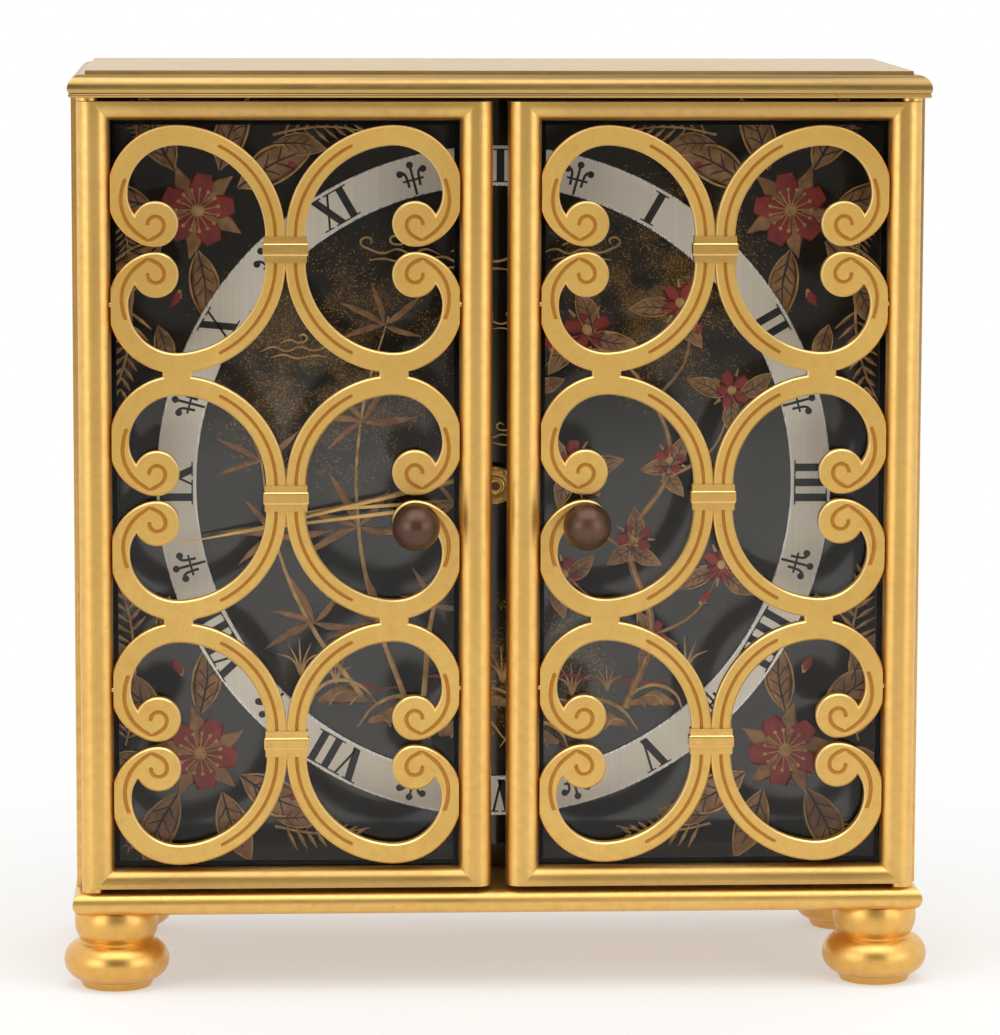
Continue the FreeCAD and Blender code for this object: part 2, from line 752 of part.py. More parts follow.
def arm_groove_path():
    """Points of the engraved line that leaves the collar along the arm."""
    u, v, radius, start, end = scroll_arcs()[0]
    return [step_from((u, v), start + (end - start) * i / 8, radius) for i in range(7)]


def volute_groove_path():
    """Points of the engraved line that runs from the lobe into the eye of the volute."""
    arcs = scroll_arcs()
    turns = [(arcs[2], 15.0, 0.0), (arcs[3], 0.0, arcs[3][4]), (arcs[4], arcs[3][4], -75.0)]
    path = []
    for (u, v, radius, start, end), first, last in turns:
        steps = max(2, round((first - last) / 12))
        for i in range(steps):
            angle = first + (last - first) * i / steps
            share = (15.0 - angle) / 90.0
            offset = -groove_inner_offset + share * (groove_inner_offset + groove_outer_offset)
            path.append(step_from((u, v), angle, radius + offset))
    u, v, radius, start, end = arcs[4]
    entry = step_from((u, v), -75.0, radius + groove_outer_offset)
    entry_radius = math.hypot(entry[0] - volute_u, entry[1] - volute_v)
    entry_angle = math.degrees(math.atan2(entry[1] - volute_v, entry[0] - volute_u))
    for i in range(16):
        turn = 20.0 * i
        radius = groove_eye_radius + (entry_radius - groove_eye_radius) * math.exp(-turn / 45.0)
        path.append(step_from((volute_u, volute_v), entry_angle - turn, radius))
    return path


def groove_outline(path, width, y):
    """Outline of an engraved line with round ends."""
    left, right = [], []
    for i, spot in enumerate(path):
        before, after = path[max(i - 1, 0)], path[min(i + 1, len(path) - 1)]
        heading = math.degrees(math.atan2(after[1] - before[1], after[0] - before[0]))
        for side, turn in ((left, 90.0), (right, -90.0)):
            u, v = step_from(spot, heading + turn, width / 2)
            side.append(Vec(u, y, v))
    edges = []
    for side in (left, right):
        curve = Part.BSplineCurve()
        curve.interpolate(side)
        edges.append(curve.toShape())
    for end, inward in ((0, 1), (-1, -2)):
        heading = math.atan2(path[end][1] - path[inward][1], path[end][0] - path[inward][0])
        tip = step_from(path[end], math.degrees(heading), width / 2)
        edges.append(Part.Arc(left[end], Vec(tip[0], y, tip[1]), right[end]).toShape())
    return Part.Wire(Part.__sortEdges__(edges))


def groove_tool(path, width):
    """The cutter for an engraved line that narrows towards its bottom."""
    floor = groove_outline(path, width * groove_floor_share, grille_face_y + groove_depth)
    lip = groove_outline(path, width, grille_face_y)
    above = Part.Face(lip).extrude(Vec(0, -slip_gap, 0))
    return Part.makeLoft([lip, floor], True, True).fuse(above)


def row_bridges():
    """Short bridges between the crowns of neighbouring rows, with the grille's chamfer."""
    bridges = []
    half, bite = scroll_neck_width / 2, scroll_band / 2
    for low, high in zip(row_heights(), row_heights()[1:]):
        z0, z1 = low + top_v, high - top_v
        for u in (opening_x - top_u, opening_x + top_u):
            bridge = block(u - half, u + half, grille_face_y, grille_back_y, z0 + bite / 2, z1 - bite / 2)
            sides = [e for x in (u - half, u + half) for e in upright_edges(bridge, x, grille_face_y)]
            bridges.append(bridge.makeChamfer(grille_chamfer, sides))
    return bridges


def spread_scrolls(shape):
    """Copies of a quarter-row shape: both sides of the collar, up and down, in every row."""
    copies = []
    sideways = [shape, to_left(shape)]
    quarters = sideways + [copy.mirror(Vec(0, 0, 0), Vec(0, 0, 1)) for copy in sideways]
    for z in row_heights():
        for quarter in quarters:
            copies.append(quarter.translated(Vec(opening_x, 0, z)))
    return copies


def row_heights():
    return [centre_z + (row - (grille_rows - 1) / 2) * row_pitch for row in range(grille_rows)]


def knob_place():
    """The lower volute of the middle row beside the meeting stile."""
    return opening_x - volute_u, centre_z - volute_v


def scroll_grille():
    body_y = grille_face_y + grille_chamfer
    body = Part.Face(scroll_outline(0.0, body_y)).extrude(Vec(0, grille_back_y - body_y, 0))
    bevel = Part.makeLoft(
        [scroll_outline(0.0, body_y), scroll_outline(grille_chamfer, grille_face_y)], True, True
    )
    scroll = body.fuse(bevel).removeSplitter()
    x0, x1 = opening_x - scroll_half_width, opening_x + scroll_half_width
    room = block(x0, x1, grille_face_y, grille_back_y, door_z, door_z + door_height)
    grille = fused(spread_scrolls(scroll) + row_bridges()).common(room)
    tools = spread_scrolls(groove_tool(arm_groove_path(), arm_groove_width))
    tools += spread_scrolls(groove_tool(volute_groove_path(), groove_width))
    x, z = knob_place()
    tools.append(rod_along_y(knob_stem_radius + seat_fit, x, z, grille_face_y, grille_back_y))
    tools += grille_pin_tools(grille_pin_radius + seat_fit)
    return grille.cut(tools)


def grille_collars():
    """Banded collars, each clasping the four arms of one row."""
    collars = []
    for z in row_heights():
        half = scroll_band + seat_fit
        y0, y1 = grille_face_y - seat_fit, grille_back_y + seat_fit
        wall, swell = collar_wall, collar_reach
        low, high = z - collar_height / 2, z + collar_height / 2
        sleeve = block(
            opening_x - half - wall, opening_x + half + wall, y0 - wall, y1 + wall, low, high
        )
        band = block(
            opening_x - half - swell,
            opening_x + half + swell,
            y0 - swell,
            y1 + swell,
            z - collar_band_height / 2,
            z + collar_band_height / 2,
        )
        rims = [e for e in band.Edges if e.BoundBox.ZLength < 1e-6]
        band = band.makeFillet(swell * 0.9, rims)
        hole = block(opening_x - half, opening_x + half, y0, y1, low, high)
        collars.append(sleeve.fuse(band).cut(hole).removeSplitter())
    return collars


def door_knob():
    """A ball on a short turned stem that is riveted through the volute."""
    x, z = knob_place()
    ball_y = grille_face_y - knob_stem_length - knob_radius + knob_sink
    ball = Part.makeSphere(knob_radius, Vec(x, ball_y, z))
    stem = rod_along_y(knob_stem_radius, x, z, ball_y, grille_back_y)
    collar_y = grille_face_y - seat_fit
    collar = rod_along_y(knob_collar_radius, x, z, collar_y - knob_stem_length / 2, collar_y)
    return fused([ball, stem, collar])


# Dial


def dial_post_places():
    return [step_from(centre, angle, plate_radius - pillar_inset) for angle in (30, 150, 210, 330)]


def dial_plate():
    half = inner_half_width - dial_edge_gap
    plate = block(-half, half, dial_face_y, dial_back_y, case_z + dial_edge_gap, cornice_z - dial_edge_gap)
    holes = [rod_along_y(dial_hole_radius, *centre, dial_face_y, dial_back_y)]
    for angle in range(0, 360, 360 // ring_foot_count):
        x, z = step_from(centre, angle + 45, (ring_inner_radius + ring_outer_radius) / 2)
        holes.append(rod_along_y(ring_foot_radius + seat_fit, x, z, dial_face_y, dial_back_y))
    for x in (-rod_x_position, rod_x_position):
        for z in (centre_z - dial_screw_offset, centre_z + dial_screw_offset):
            tip = dial_back_y - dial_screw_grip
            holes.append(rod_along_y(dial_screw_radius + seat_fit, x, z, tip, dial_back_y))
    for x, z in dial_post_places():
        tip = dial_back_y - post_spigot_length
        holes.append(rod_along_y(post_spigot_radius + seat_fit, x, z, tip, dial_back_y))
    return plate.cut(holes)


def dial_screws():
    screws = []
    seat = front_rod_y + tie_rod_radius
    for x in (-rod_x_position, rod_x_position):
        for z in (centre_z - dial_screw_offset, centre_z + dial_screw_offset):
            shank = rod_along_y(dial_screw_radius, x, z, dial_back_y - dial_screw_grip, seat)
            head = rod_along_y(dial_screw_head_radius, x, z, seat, seat + dial_screw_head_height)
            screws.append(shank.fuse(head).removeSplitter())
    return screws


def chapter_ring():
    """The ring with its riveted feet."""
    ring = rod_along_y(ring_outer_radius, *centre, ring_face_y, dial_face_y)
    hole = rod_along_y(ring_inner_radius, *centre, ring_face_y, dial_face_y)
    pieces = [ring.cut(hole)]
    for angle in range(0, 360, 360 // ring_foot_count):
        x, z = step_from(centre, angle + 45, (ring_inner_radius + ring_outer_radius) / 2)
        pieces.append(rod_along_y(ring_foot_radius, x, z, dial_face_y, dial_back_y))
    return fused(pieces)


def hand(length, bore_radius, y, minutes_per_turn):
    """An open hand: two bars run from the hub to a point, and a needle goes on from there."""
    meet = length * (1 - hand_needle_share)
    half = hand_bar_width / 2
    root = hand_bar_spacing / 2
    outer = Part.makePolygon([
        Vec(-root - half, y, 0), Vec(-half, y, meet), Vec(0, y, length),
        Vec(half, y, meet), Vec(root + half, y, 0), Vec(-root - half, y, 0),
    ])
    inner = Part.makePolygon([
        Vec(-root + half, y, 0), Vec(0, y, meet - 2 * hand_bar_width),
        Vec(root - half, y, 0), Vec(-root + half, y, 0),
    ])
    bars = Part.Face(outer).extrude(Vec(0, hand_thickness, 0))
    bars = bars.cut(Part.Face(inner).extrude(Vec(0, hand_thickness, 0)))
    hub = rod_along_y(hand_hub_radius, 0, 0, y, y + hand_thickness)
    blade = bars.fuse(hub).removeSplitter()
    blade = blade.cut(rod_along_y(bore_radius, 0, 0, y, y + hand_thickness))
    blade.rotate(Vec(0, 0, 0), Vec(0, 1, 0), 360 * time_shown_minutes / minutes_per_turn)
    blade.translate(Vec(centre[0], 0, centre[1]))
    return blade


# Movement layout: wheel and pinion pairs as (module, wheel teeth, pinion leaves), then arbor
# places in the XZ plane

barrel_mesh = (barrel_module, barrel_teeth, centre_leaves)
centre_mesh = (centre_module, centre_teeth, third_leaves)
third_mesh = (third_module, third_teeth, fourth_leaves)
fourth_mesh = (fourth_module, fourth_teeth, escape_leaves)
cannon_mesh = (cannon_module, minute_teeth, cannon_leaves)
hour_mesh = (hour_module, hour_teeth, minute_leaves)


def mesh_distance(mesh):
    module, wheel, pinion = mesh
    return module * (wheel + pinion) / 2


centre = (0.0, centre_z)
barrel_centre = step_from(centre, barrel_direction, mesh_distance(barrel_mesh))
third_centre = step_from(centre, third_direction, mesh_distance(centre_mesh))
fourth_centre = step_from(third_centre, fourth_direction, mesh_distance(third_mesh))
escape_centre = step_from(fourth_centre, escape_direction, mesh_distance(fourth_mesh))
lever_distance = escape_radius + pallet_opening + lever_boss_radius
balance_distance = lever_distance + lever_length
lever_centre = step_from(escape_centre, balance_direction, lever_distance)
balance_centre = step_from(escape_centre, balance_direction, balance_distance)
minute_wheel_centre = step_from(centre, minute_wheel_direction, mesh_distance(cannon_mesh))
click_centre = step_from(barrel_centre, click_direction, click_distance)

# Planes of the wheels
barrel_y = train_y + barrel_level
third_wheel_y = train_y + third_level
fourth_wheel_y = train_y + fourth_level
escape_wheel_y = third_wheel_y
balance_y = train_y + balance_level
hairspring_y = balance_y + balance_rim_height + hairspring_gap
minute_wheel_y = front_plate_y - motion_gap - wheel_thickness
hour_wheel_y = minute_wheel_y - motion_gap - wheel_thickness
ratchet_y = movement_back_y + ratchet_gap


def gear(module, teeth, phase, place, y0, y1):
    """A toothed disc with slim straight-sided teeth; phase is the direction of one tooth."""
    pitch_radius = module * teeth / 2
    root_radius = pitch_radius - tooth_dedendum * module
    tip_radius = pitch_radius + tooth_addendum * module
    step = 360.0 / teeth
    spots = []
    for tooth in range(teeth):
        middle = phase + tooth * step
        corners = (
            (-tooth_root_share, root_radius),
            (-tooth_tip_share, tip_radius),
            (tooth_tip_share, tip_radius),
            (tooth_root_share, root_radius),
        )
        for share, radius in corners:
            x, z = step_from(place, middle + share * step / 2, radius)
            spots.append(Vec(x, y0, z))
    face = Part.Face(Part.makePolygon(spots + spots[:1]))
    return face.extrude(Vec(0, y1 - y0, 0))


def crossed_out(wheel, rim_radius, place, y0, y1):
    """A wheel lightened to a rim, a hub and arms."""
    rim = wheel.cut(rod_along_y(rim_radius, *place, y0, y1))
    pieces = [rim, rod_along_y(wheel_hub_radius, *place, y0, y1)]
    for arm in range(wheel_arms // 2):
        reach = rim_radius + wheel_rim / 2
        half = wheel_arm_width / 2
        bar = block(-reach, reach, y0, y1, -half, half)
        bar.rotate(Vec(0, 0, 0), Vec(0, 1, 0), 360.0 / wheel_arms * arm)
        pieces.append(bar.translated(Vec(place[0], 0, place[1])))
    return fused(pieces)


def wheel_of(mesh, direction, place, y0):
    """The wheel of a pair, with one tooth towards the pinion."""
    module, teeth, leaves = mesh
    y1 = y0 + wheel_thickness
    wheel = gear(module, teeth, direction, place, y0, y1)
    rim_radius = module * (teeth / 2 - tooth_dedendum) - wheel_rim
    return crossed_out(wheel, rim_radius, place, y0, y1)


def pinion_of(mesh, direction, place, wheel_y, thickness):
    """The pinion of a pair, with one gap towards the wheel."""
    module, teeth, leaves = mesh
    phase = direction + 180 + 180.0 / leaves
    return gear(module, leaves, phase, place, wheel_y - leaf_excess, wheel_y + thickness + leaf_excess)


def train_arbor(place):
    return rod_along_y(arbor_radius, *place, front_plate_y, movement_back_y)


# Going train


def barrel():
    """The spring drum: toothed rim at the front, open bore for its arbor, closed at both ends."""
    module, teeth, leaves = barrel_mesh
    rim_end = barrel_y + barrel_rim_height
    rim = gear(module, teeth, barrel_direction + 180, barrel_centre, barrel_y, rim_end)
    drum_radius = module * (teeth / 2 - tooth_dedendum)
    drum = rod_along_y(drum_radius, *barrel_centre, rim_end, barrel_y + barrel_height)
    inside = rod_along_y(
        drum_radius - barrel_wall,
        *barrel_centre,
        barrel_y + barrel_floor,
        barrel_y + barrel_height - barrel_floor,
    )
    bore = rod_along_y(
        barrel_arbor_radius + running_fit, *barrel_centre, barrel_y, barrel_y + barrel_height
    )
    return rim.fuse(drum).cut([inside, bore]).removeSplitter()


def spiral_ribbon(inner_radius, pitch, turns, thickness, place, y0, y1):
    """A flat spiral spring made of half circles that grow by half a pitch each."""
    arcs = []
    side = 0.0
    for half_turn in range(2 * turns):
        radius = inner_radius + pitch * half_turn / 2
        start = 180.0 * half_turn
        arcs.append((side, radius, start))
        side = pitch / 2 - side
    half = thickness / 2
    outer = [
        arc_edge(place[0] + shift, place[1], radius + half, start, start + 180.0, y0)
        for shift, radius, start in arcs
    ]
    inner = [
        arc_edge(place[0] + shift, place[1], radius - half, start + 180.0, start, y0)
        for shift, radius, start in reversed(arcs)
    ]
    return Part.Face(joined_wire(outer + inner)).extrude(Vec(0, y1 - y0, 0))


def mainspring():
    module, teeth, leaves = barrel_mesh
    room = module * (teeth / 2 - tooth_dedendum) - barrel_wall
    inner_radius = room - running_fit - mainspring_thickness / 2 - mainspring_pitch * mainspring_turns
    y0 = barrel_y + barrel_floor + slip_gap
    y1 = barrel_y + barrel_height - barrel_floor - slip_gap
    return spiral_ribbon(
        inner_radius, mainspring_pitch, mainspring_turns, mainspring_thickness, barrel_centre, y0, y1
    )


def barrel_arbor():
    """Stepped arbor from the front plate to the winding key."""
    pieces = [
        rod_along_y(barrel_pivot_radius, *barrel_centre, front_plate_y, train_y + slip_gap),
        rod_along_y(barrel_arbor_radius, *barrel_centre, train_y + slip_gap, back_plate_y - slip_gap),
        rod_along_y(barrel_pivot_radius, *barrel_centre, back_plate_y - slip_gap, rear_y + key_hub_height),
    ]
    return fused(pieces)


def centre_wheel():
    """Centre wheel and pinion on a pipe that slips on the centre arbor."""
    wheel = wheel_of(centre_mesh, third_direction, centre, centre_wheel_y)
    leaves = pinion_of(barrel_mesh, barrel_direction + 180, centre, barrel_y, barrel_rim_height)
    pipe = rod_along_y(cannon_radius, *centre, barrel_y, centre_wheel_y + wheel_thickness)
    bore = rod_along_y(centre_arbor_radius + running_fit, *centre, train_y, back_plate_y)
    return fused([wheel, leaves, pipe]).cut(bore)


def third_wheel():
    wheel = wheel_of(third_mesh, fourth_direction, third_centre, third_wheel_y)
    leaves = pinion_of(centre_mesh, third_direction, third_centre, centre_wheel_y, wheel_thickness)
    return fused([wheel, leaves, train_arbor(third_centre)])


def fourth_wheel():
    wheel = wheel_of(fourth_mesh, escape_direction, fourth_centre, fourth_wheel_y)
    leaves = pinion_of(third_mesh, fourth_direction, fourth_centre, third_wheel_y, wheel_thickness)
    return fused([wheel, leaves, train_arbor(fourth_centre)])


def saw_toothed(teeth, radius, depth, place, y0, y1):
    """A disc with raked teeth, as on ratchet and escape wheels."""
    spots = []
    for tooth in range(teeth):
        start = 360.0 * tooth / teeth
        for angle, reach in ((start, radius), (start + 60.0 / teeth, radius - depth * 0.1),
                             (start + 110.0 / teeth, radius - depth)):
            x, z = step_from(place, angle, reach)
            spots.append(Vec(x, y0, z))
    return Part.Face(Part.makePolygon(spots + spots[:1])).extrude(Vec(0, y1 - y0, 0))


def escape_wheel():
    y1 = escape_wheel_y + lever_thickness
    wheel = saw_toothed(escape_teeth, escape_radius, escape_tooth_depth, escape_centre, escape_wheel_y, y1)
    leaves = pinion_of(fourth_mesh, escape_direction, escape_centre, fourth_wheel_y, wheel_thickness)
    return fused([wheel, leaves, train_arbor(escape_centre)])


def bar_between(start, end, width, y0, y1):
    """A straight bar in the XZ plane."""
    length = math.hypot(end[0] - start[0], end[1] - start[1])
    angle = math.degrees(math.atan2(end[1] - start[1], end[0] - start[0]))
    bar = block(0, length, y0, y1, -width / 2, width / 2)
    bar.rotate(Vec(0, 0, 0), Vec(0, 1, 0), -angle)
    return bar.translated(Vec(start[0], 0, start[1]))


def pallet_lever():
    """Anchor with two pallets and a fork towards the balance."""
    y0, y1 = escape_wheel_y, escape_wheel_y + lever_thickness
    pieces = [train_arbor(lever_centre), rod_along_y(lever_boss_radius, *lever_centre, y0, y1)]
    for side in (-lever_arm_angle, lever_arm_angle):
        reach = escape_radius + pallet_opening + pallet_radius
        tip = step_from(escape_centre, balance_direction + side, reach)
        pieces.append(bar_between(lever_centre, tip, lever_arm_width, y0, y1))
        pieces.append(rod_along_y(pallet_radius, *tip, y0, y1))
    fork_reach = lever_length * lever_fork_share
    fork = step_from(lever_centre, balance_direction, fork_reach)
    pieces.append(bar_between(lever_centre, fork, lever_arm_width, y0, y1))
    for side in (-60, 60):
        horn = step_from(fork, balance_direction + side, lever_horn_length)
        pieces.append(bar_between(fork, horn, lever_arm_width / 2, y0, y1))
    return fused(pieces)


def balance_wheel():
    """Balance rim on two arms, with its staff and roller."""
    y0, y1 = balance_y, balance_y + balance_rim_height
    inner = balance_radius - balance_rim_width
    rim = rod_along_y(balance_radius, *balance_centre, y0, y1)
    rim = rim.cut(rod_along_y(inner, *balance_centre, y0, y1))
    left = step_from(balance_centre, balance_direction, -inner - balance_rim_width / 2)
    right = step_from(balance_centre, balance_direction, inner + balance_rim_width / 2)
    roller_y = escape_wheel_y + lever_thickness + leaf_excess
    collet_radius = hairspring_inner_radius - hairspring_thickness / 2 - seat_fit
    pieces = [
        rim,
        bar_between(left, right, balance_arm_width, y0, y1),
        rod_along_y(collet_radius, *balance_centre, y0, hairspring_y + hairspring_height),
        rod_along_y(roller_radius, *balance_centre, roller_y, roller_y + lever_thickness),
        rod_along_y(arbor_radius, *balance_centre, front_plate_y, movement_back_y + plate_thickness),
    ]
    return fused(pieces)


def hairspring():
    y1 = hairspring_y + hairspring_height
    return spiral_ribbon(
        hairspring_inner_radius,
        hairspring_pitch,
        hairspring_turns,
        hairspring_thickness,
        balance_centre,
        hairspring_y,
        y1,
    )


# Motion work and hands


def centre_arbor():
    """Runs from the hand nut through the movement to the set knob."""
    front = minute_hand_y - hand_nut_height
    return rod_along_y(centre_arbor_radius, *centre, front, rear_y + set_knob_height)


def cannon_pinion():
    leaves = pinion_of(cannon_mesh, minute_wheel_direction + 180, centre, minute_wheel_y, wheel_thickness)
    pipe = rod_along_y(cannon_radius, *centre, minute_hand_y, minute_wheel_y + wheel_thickness)
    bore = rod_along_y(centre_arbor_radius + seat_fit, *centre, minute_hand_y, front_plate_y)
    return fused([leaves, pipe]).cut(bore)


def minute_wheel():
    """Intermediate wheel and pinion of the motion work, on its own stud."""
    direction = minute_wheel_direction + 180
    wheel = wheel_of(cannon_mesh, direction, minute_wheel_centre, minute_wheel_y)
    module, teeth, leaves = hour_mesh
    phase = direction + 180.0 / leaves
    y0 = hour_wheel_y - leaf_excess
    pinion = gear(module, leaves, phase, minute_wheel_centre, y0, minute_wheel_y)
    bore = rod_along_y(arbor_radius + running_fit, *minute_wheel_centre, y0, front_plate_y)
    return fused([wheel, pinion]).cut(bore)


def hour_wheel():
    wheel = wheel_of(hour_mesh, minute_wheel_direction, centre, hour_wheel_y)
    y1 = hour_wheel_y + wheel_thickness
    pipe = rod_along_y(hour_pipe_radius, *centre, hour_hand_y, y1)
    bore = rod_along_y(cannon_radius + running_fit, *centre, hour_hand_y, y1)
    return fused([wheel, pipe]).cut(bore)


def hand_nut():
    nut = rod_along_y(hand_nut_radius, *centre, minute_hand_y - hand_nut_height, minute_hand_y)
    rim = [edge for edge in nut.Edges if edge.BoundBox.YMax < minute_hand_y - hand_nut_height / 2]
    nut = nut.makeFillet(hand_nut_height / 2, rim)
    return nut.cut(
        rod_along_y(centre_arbor_radius + seat_fit, *centre, minute_hand_y - hand_nut_height, minute_hand_y)
    )


def set_knob():
    """Fluted knob on the rear end of the centre arbor."""
    y1 = rear_y + set_knob_height
    knob = rod_along_y(set_knob_radius, *centre, rear_y, y1)
    rims = [edge for edge in knob.Edges if edge.BoundBox.YLength < 1e-6]
    knob = knob.makeChamfer(set_knob_height / 10, rims)
    tools = [rod_along_y(centre_arbor_radius + seat_fit, *centre, rear_y, y1)]
    flute_radius = math.pi * set_knob_radius / set_knob_flutes / 2
    for flute in range(set_knob_flutes):
        place = step_from(centre, 360.0 * flute / set_knob_flutes, set_knob_radius + flute_radius / 2)
        tools.append(rod_along_y(flute_radius, *place, rear_y, y1))
    return knob.cut(tools)


# Winding side


def winding_key():
    """Butterfly key: a hub with two rounded wings."""
    x, z = barrel_centre
    hub_end = rear_y + key_hub_height
    hub = rod_along_y(key_hub_radius, x, z, rear_y, hub_end)
    wing_radius = key_wing_height / 2
    half = key_wing_thickness / 2
    wing_y = hub_end + wing_radius / 3
    reach = key_wing_span / 2 - wing_radius
    pieces = [hub, block(x - reach, x + reach, rear_y + key_hub_height / 2, wing_y, z - half, z + half)]
    for side in (-1, 1):
        pieces.append(rod_along_z(wing_radius, x + side * reach, wing_y, z - half, z + half))
    return fused(pieces).cut(rod_along_y(barrel_pivot_radius + seat_fit, x, z, rear_y, hub_end))


def ratchet_wheel():
    y1 = ratchet_y + ratchet_thickness
    wheel = saw_toothed(ratchet_teeth, ratchet_radius, ratchet_tooth_depth, barrel_centre, ratchet_y, y1)
    return wheel.cut(rod_along_y(barrel_pivot_radius + seat_fit, *barrel_centre, ratchet_y, y1))


def click_nose():
    reach = ratchet_radius + click_opening + click_nose_radius
    return step_from(barrel_centre, click_direction + click_nose_angle, reach)


def click():
    """Pawl on a shoulder screw; its nose is drawn at the height of a passing tooth."""
    y0, y1 = ratchet_y, ratchet_y + ratchet_thickness
    pieces = [
        rod_along_y(click_boss_radius, *click_centre, y0, y1),
        bar_between(click_centre, click_nose(), click_arm_width, y0, y1),
        rod_along_y(click_nose_radius, *click_nose(), y0, y1),
    ]
    hole = rod_along_y(movement_screw_radius + running_fit, *click_centre, y0, y1)
    return fused(pieces).cut(hole)


def click_spring_foot():
    return step_from(click_centre, click_direction + click_spring_angle, click_spring_reach)


def click_spring():
    """A leaf spring on the back plate, bent towards the back of the click."""
    y0, y1 = movement_back_y, ratchet_y + ratchet_thickness
    foot = click_spring_foot()
    rest_gap = click_nose_radius + click_spring_gap
    rest = step_from(click_nose(), click_direction + click_spring_angle, rest_gap)
    lean = math.degrees(math.atan2(rest[1] - foot[1], rest[0] - foot[0]))
    tab = step_from(foot, lean, 1.5 * click_spring_foot_radius)
    root = step_from(tab, lean, -click_spring_thickness)
    foot_y = y0 + click_spring_foot_height
    pieces = [
        rod_along_y(click_spring_foot_radius, *foot, y0, foot_y),
        bar_between(foot, tab, click_spring_foot_radius, y0, foot_y),
        bar_between(root, rest, click_spring_thickness, y0, y1),
    ]
    return fused(pieces).cut(rod_along_y(movement_screw_radius + seat_fit, *foot, y0, y1))


# Plates


def pillar_places():
    return [step_from(centre, angle, plate_radius - pillar_inset) for angle in (45, 135, 225, 315)]


def cock_reach():
    """How far the cock's foot lies from the balance, to stay inside the plate."""
    turn = math.radians(cock_direction)
    along = balance_centre[0] * math.cos(turn) + (balance_centre[1] - centre_z) * math.sin(turn)
    aside = balance_centre[0] * math.sin(turn) - (balance_centre[1] - centre_z) * math.cos(turn)
    half = cock_foot_width / 2 + abs(aside)
    return math.sqrt((plate_radius - cock_edge_margin) ** 2 - half**2) - along


def cock_places():
    foot = step_from(balance_centre, cock_direction, cock_reach() - cock_foot_depth / 2)
    return [step_from(foot, cock_direction + 90, side * cock_screw_spacing / 2) for side in (-1, 1)]


def movement_front_plate():
    """Front plate with arbor holes and the riveted stud of the motion work."""
    plate = rod_along_y(plate_radius, *centre, front_plate_y, train_y)
    holes = [rod_along_y(centre_arbor_radius + running_fit, *centre, front_plate_y, train_y)]
    holes.append(rod_along_y(barrel_pivot_radius + running_fit, *barrel_centre, front_plate_y, train_y))
    for place in (third_centre, fourth_centre, escape_centre, lever_centre, balance_centre):
        holes.append(rod_along_y(arbor_radius + running_fit, *place, front_plate_y, train_y))
    for place in dial_post_places():
        holes.append(rod_along_y(movement_screw_radius + seat_fit, *place, front_plate_y, train_y))
    stud = rod_along_y(arbor_radius, *minute_wheel_centre, hour_wheel_y - leaf_excess, front_plate_y)
    return plate.cut(holes).fuse(stud)


def movement_back_plate():
    plate = rod_along_y(plate_radius, *centre, back_plate_y, movement_back_y)
    holes = [rod_along_y(centre_arbor_radius + running_fit, *centre, back_plate_y, movement_back_y)]
    pivot_hole = barrel_pivot_radius + running_fit
    holes.append(rod_along_y(pivot_hole, *barrel_centre, back_plate_y, movement_back_y))
    for place in (third_centre, fourth_centre, escape_centre, lever_centre):
        holes.append(rod_along_y(arbor_radius + running_fit, *place, back_plate_y, movement_back_y))
    window = balance_radius + cock_window_margin - slip_gap
    holes.append(rod_along_y(window, *balance_centre, back_plate_y, movement_back_y))
    for place in pillar_places() + cock_places() + [click_centre, click_spring_foot()]:
        holes.append(rod_along_y(movement_screw_radius + seat_fit, *place, back_plate_y, movement_back_y))
    return plate.cut(holes)


def movement_pillars():
    pillars = []
    for place in pillar_places():
        pillar = rod_along_y(pillar_radius, *place, train_y, back_plate_y)
        end = back_plate_y - movement_screw_grip
        hole = rod_along_y(movement_screw_radius + seat_fit, *place, end, back_plate_y)
        pillars.append(pillar.cut(hole))
    return pillars


def dial_posts():
    posts = []
    for place in dial_post_places():
        post = rod_along_y(post_radius, *place, dial_back_y, front_plate_y)
        spigot = rod_along_y(post_spigot_radius, *place, dial_back_y - post_spigot_length, dial_back_y)
        end = front_plate_y - movement_screw_grip
        hole = rod_along_y(movement_screw_radius + seat_fit, *place, end, front_plate_y)
        posts.append(post.fuse(spigot).cut(hole))
    return posts


def balance_cock():
    """Bar screwed to the back plate that carries the rear pivot of the balance."""
    y0, y1 = movement_back_y, movement_back_y + plate_thickness
    heel = step_from(balance_centre, cock_direction, cock_reach() - cock_foot_depth)
    end = step_from(balance_centre, cock_direction, cock_reach())
    bar = bar_between(balance_centre, end, cock_width, y0, y1)
    foot = bar_between(heel, end, cock_foot_width, y0, y1)
    boss = rod_along_y(cock_width / 2, *balance_centre, y0, y1)
    holes = [rod_along_y(arbor_radius + running_fit, *balance_centre, y0, y1)]
    for place in cock_places():
        holes.append(rod_along_y(movement_screw_radius + seat_fit, *place, y0, y1))
    return fused([bar, foot, boss]).cut(holes)


def movement_screws():
    """Screws of pillars, dial posts, balance cock, click and click spring."""
    pillar_tip = back_plate_y - movement_screw_grip + slip_gap
    seats = [(place, movement_back_y, pillar_tip) for place in pillar_places()]
    post_tip = front_plate_y - movement_screw_grip + slip_gap
    seats += [(place, train_y, post_tip) for place in dial_post_places()]
    seats += [(place, movement_back_y + plate_thickness, back_plate_y) for place in cock_places()]
    click_seat = ratchet_y + ratchet_thickness + slip_gap
    seats.append((click_centre, click_seat, back_plate_y))
    spring_seat = movement_back_y + click_spring_foot_height
    seats.append((click_spring_foot(), spring_seat, back_plate_y))
    screws = []
    for place, seat, tip in seats:
        shank = rod_along_y(movement_screw_radius, *place, tip, seat)
        head = rod_along_y(movement_screw_head_radius, *place, seat, seat + movement_screw_head_height)
        screws.append(shank.fuse(head).removeSplitter())
    return screws


def group(solids):
    return Part.makeCompound(solids)


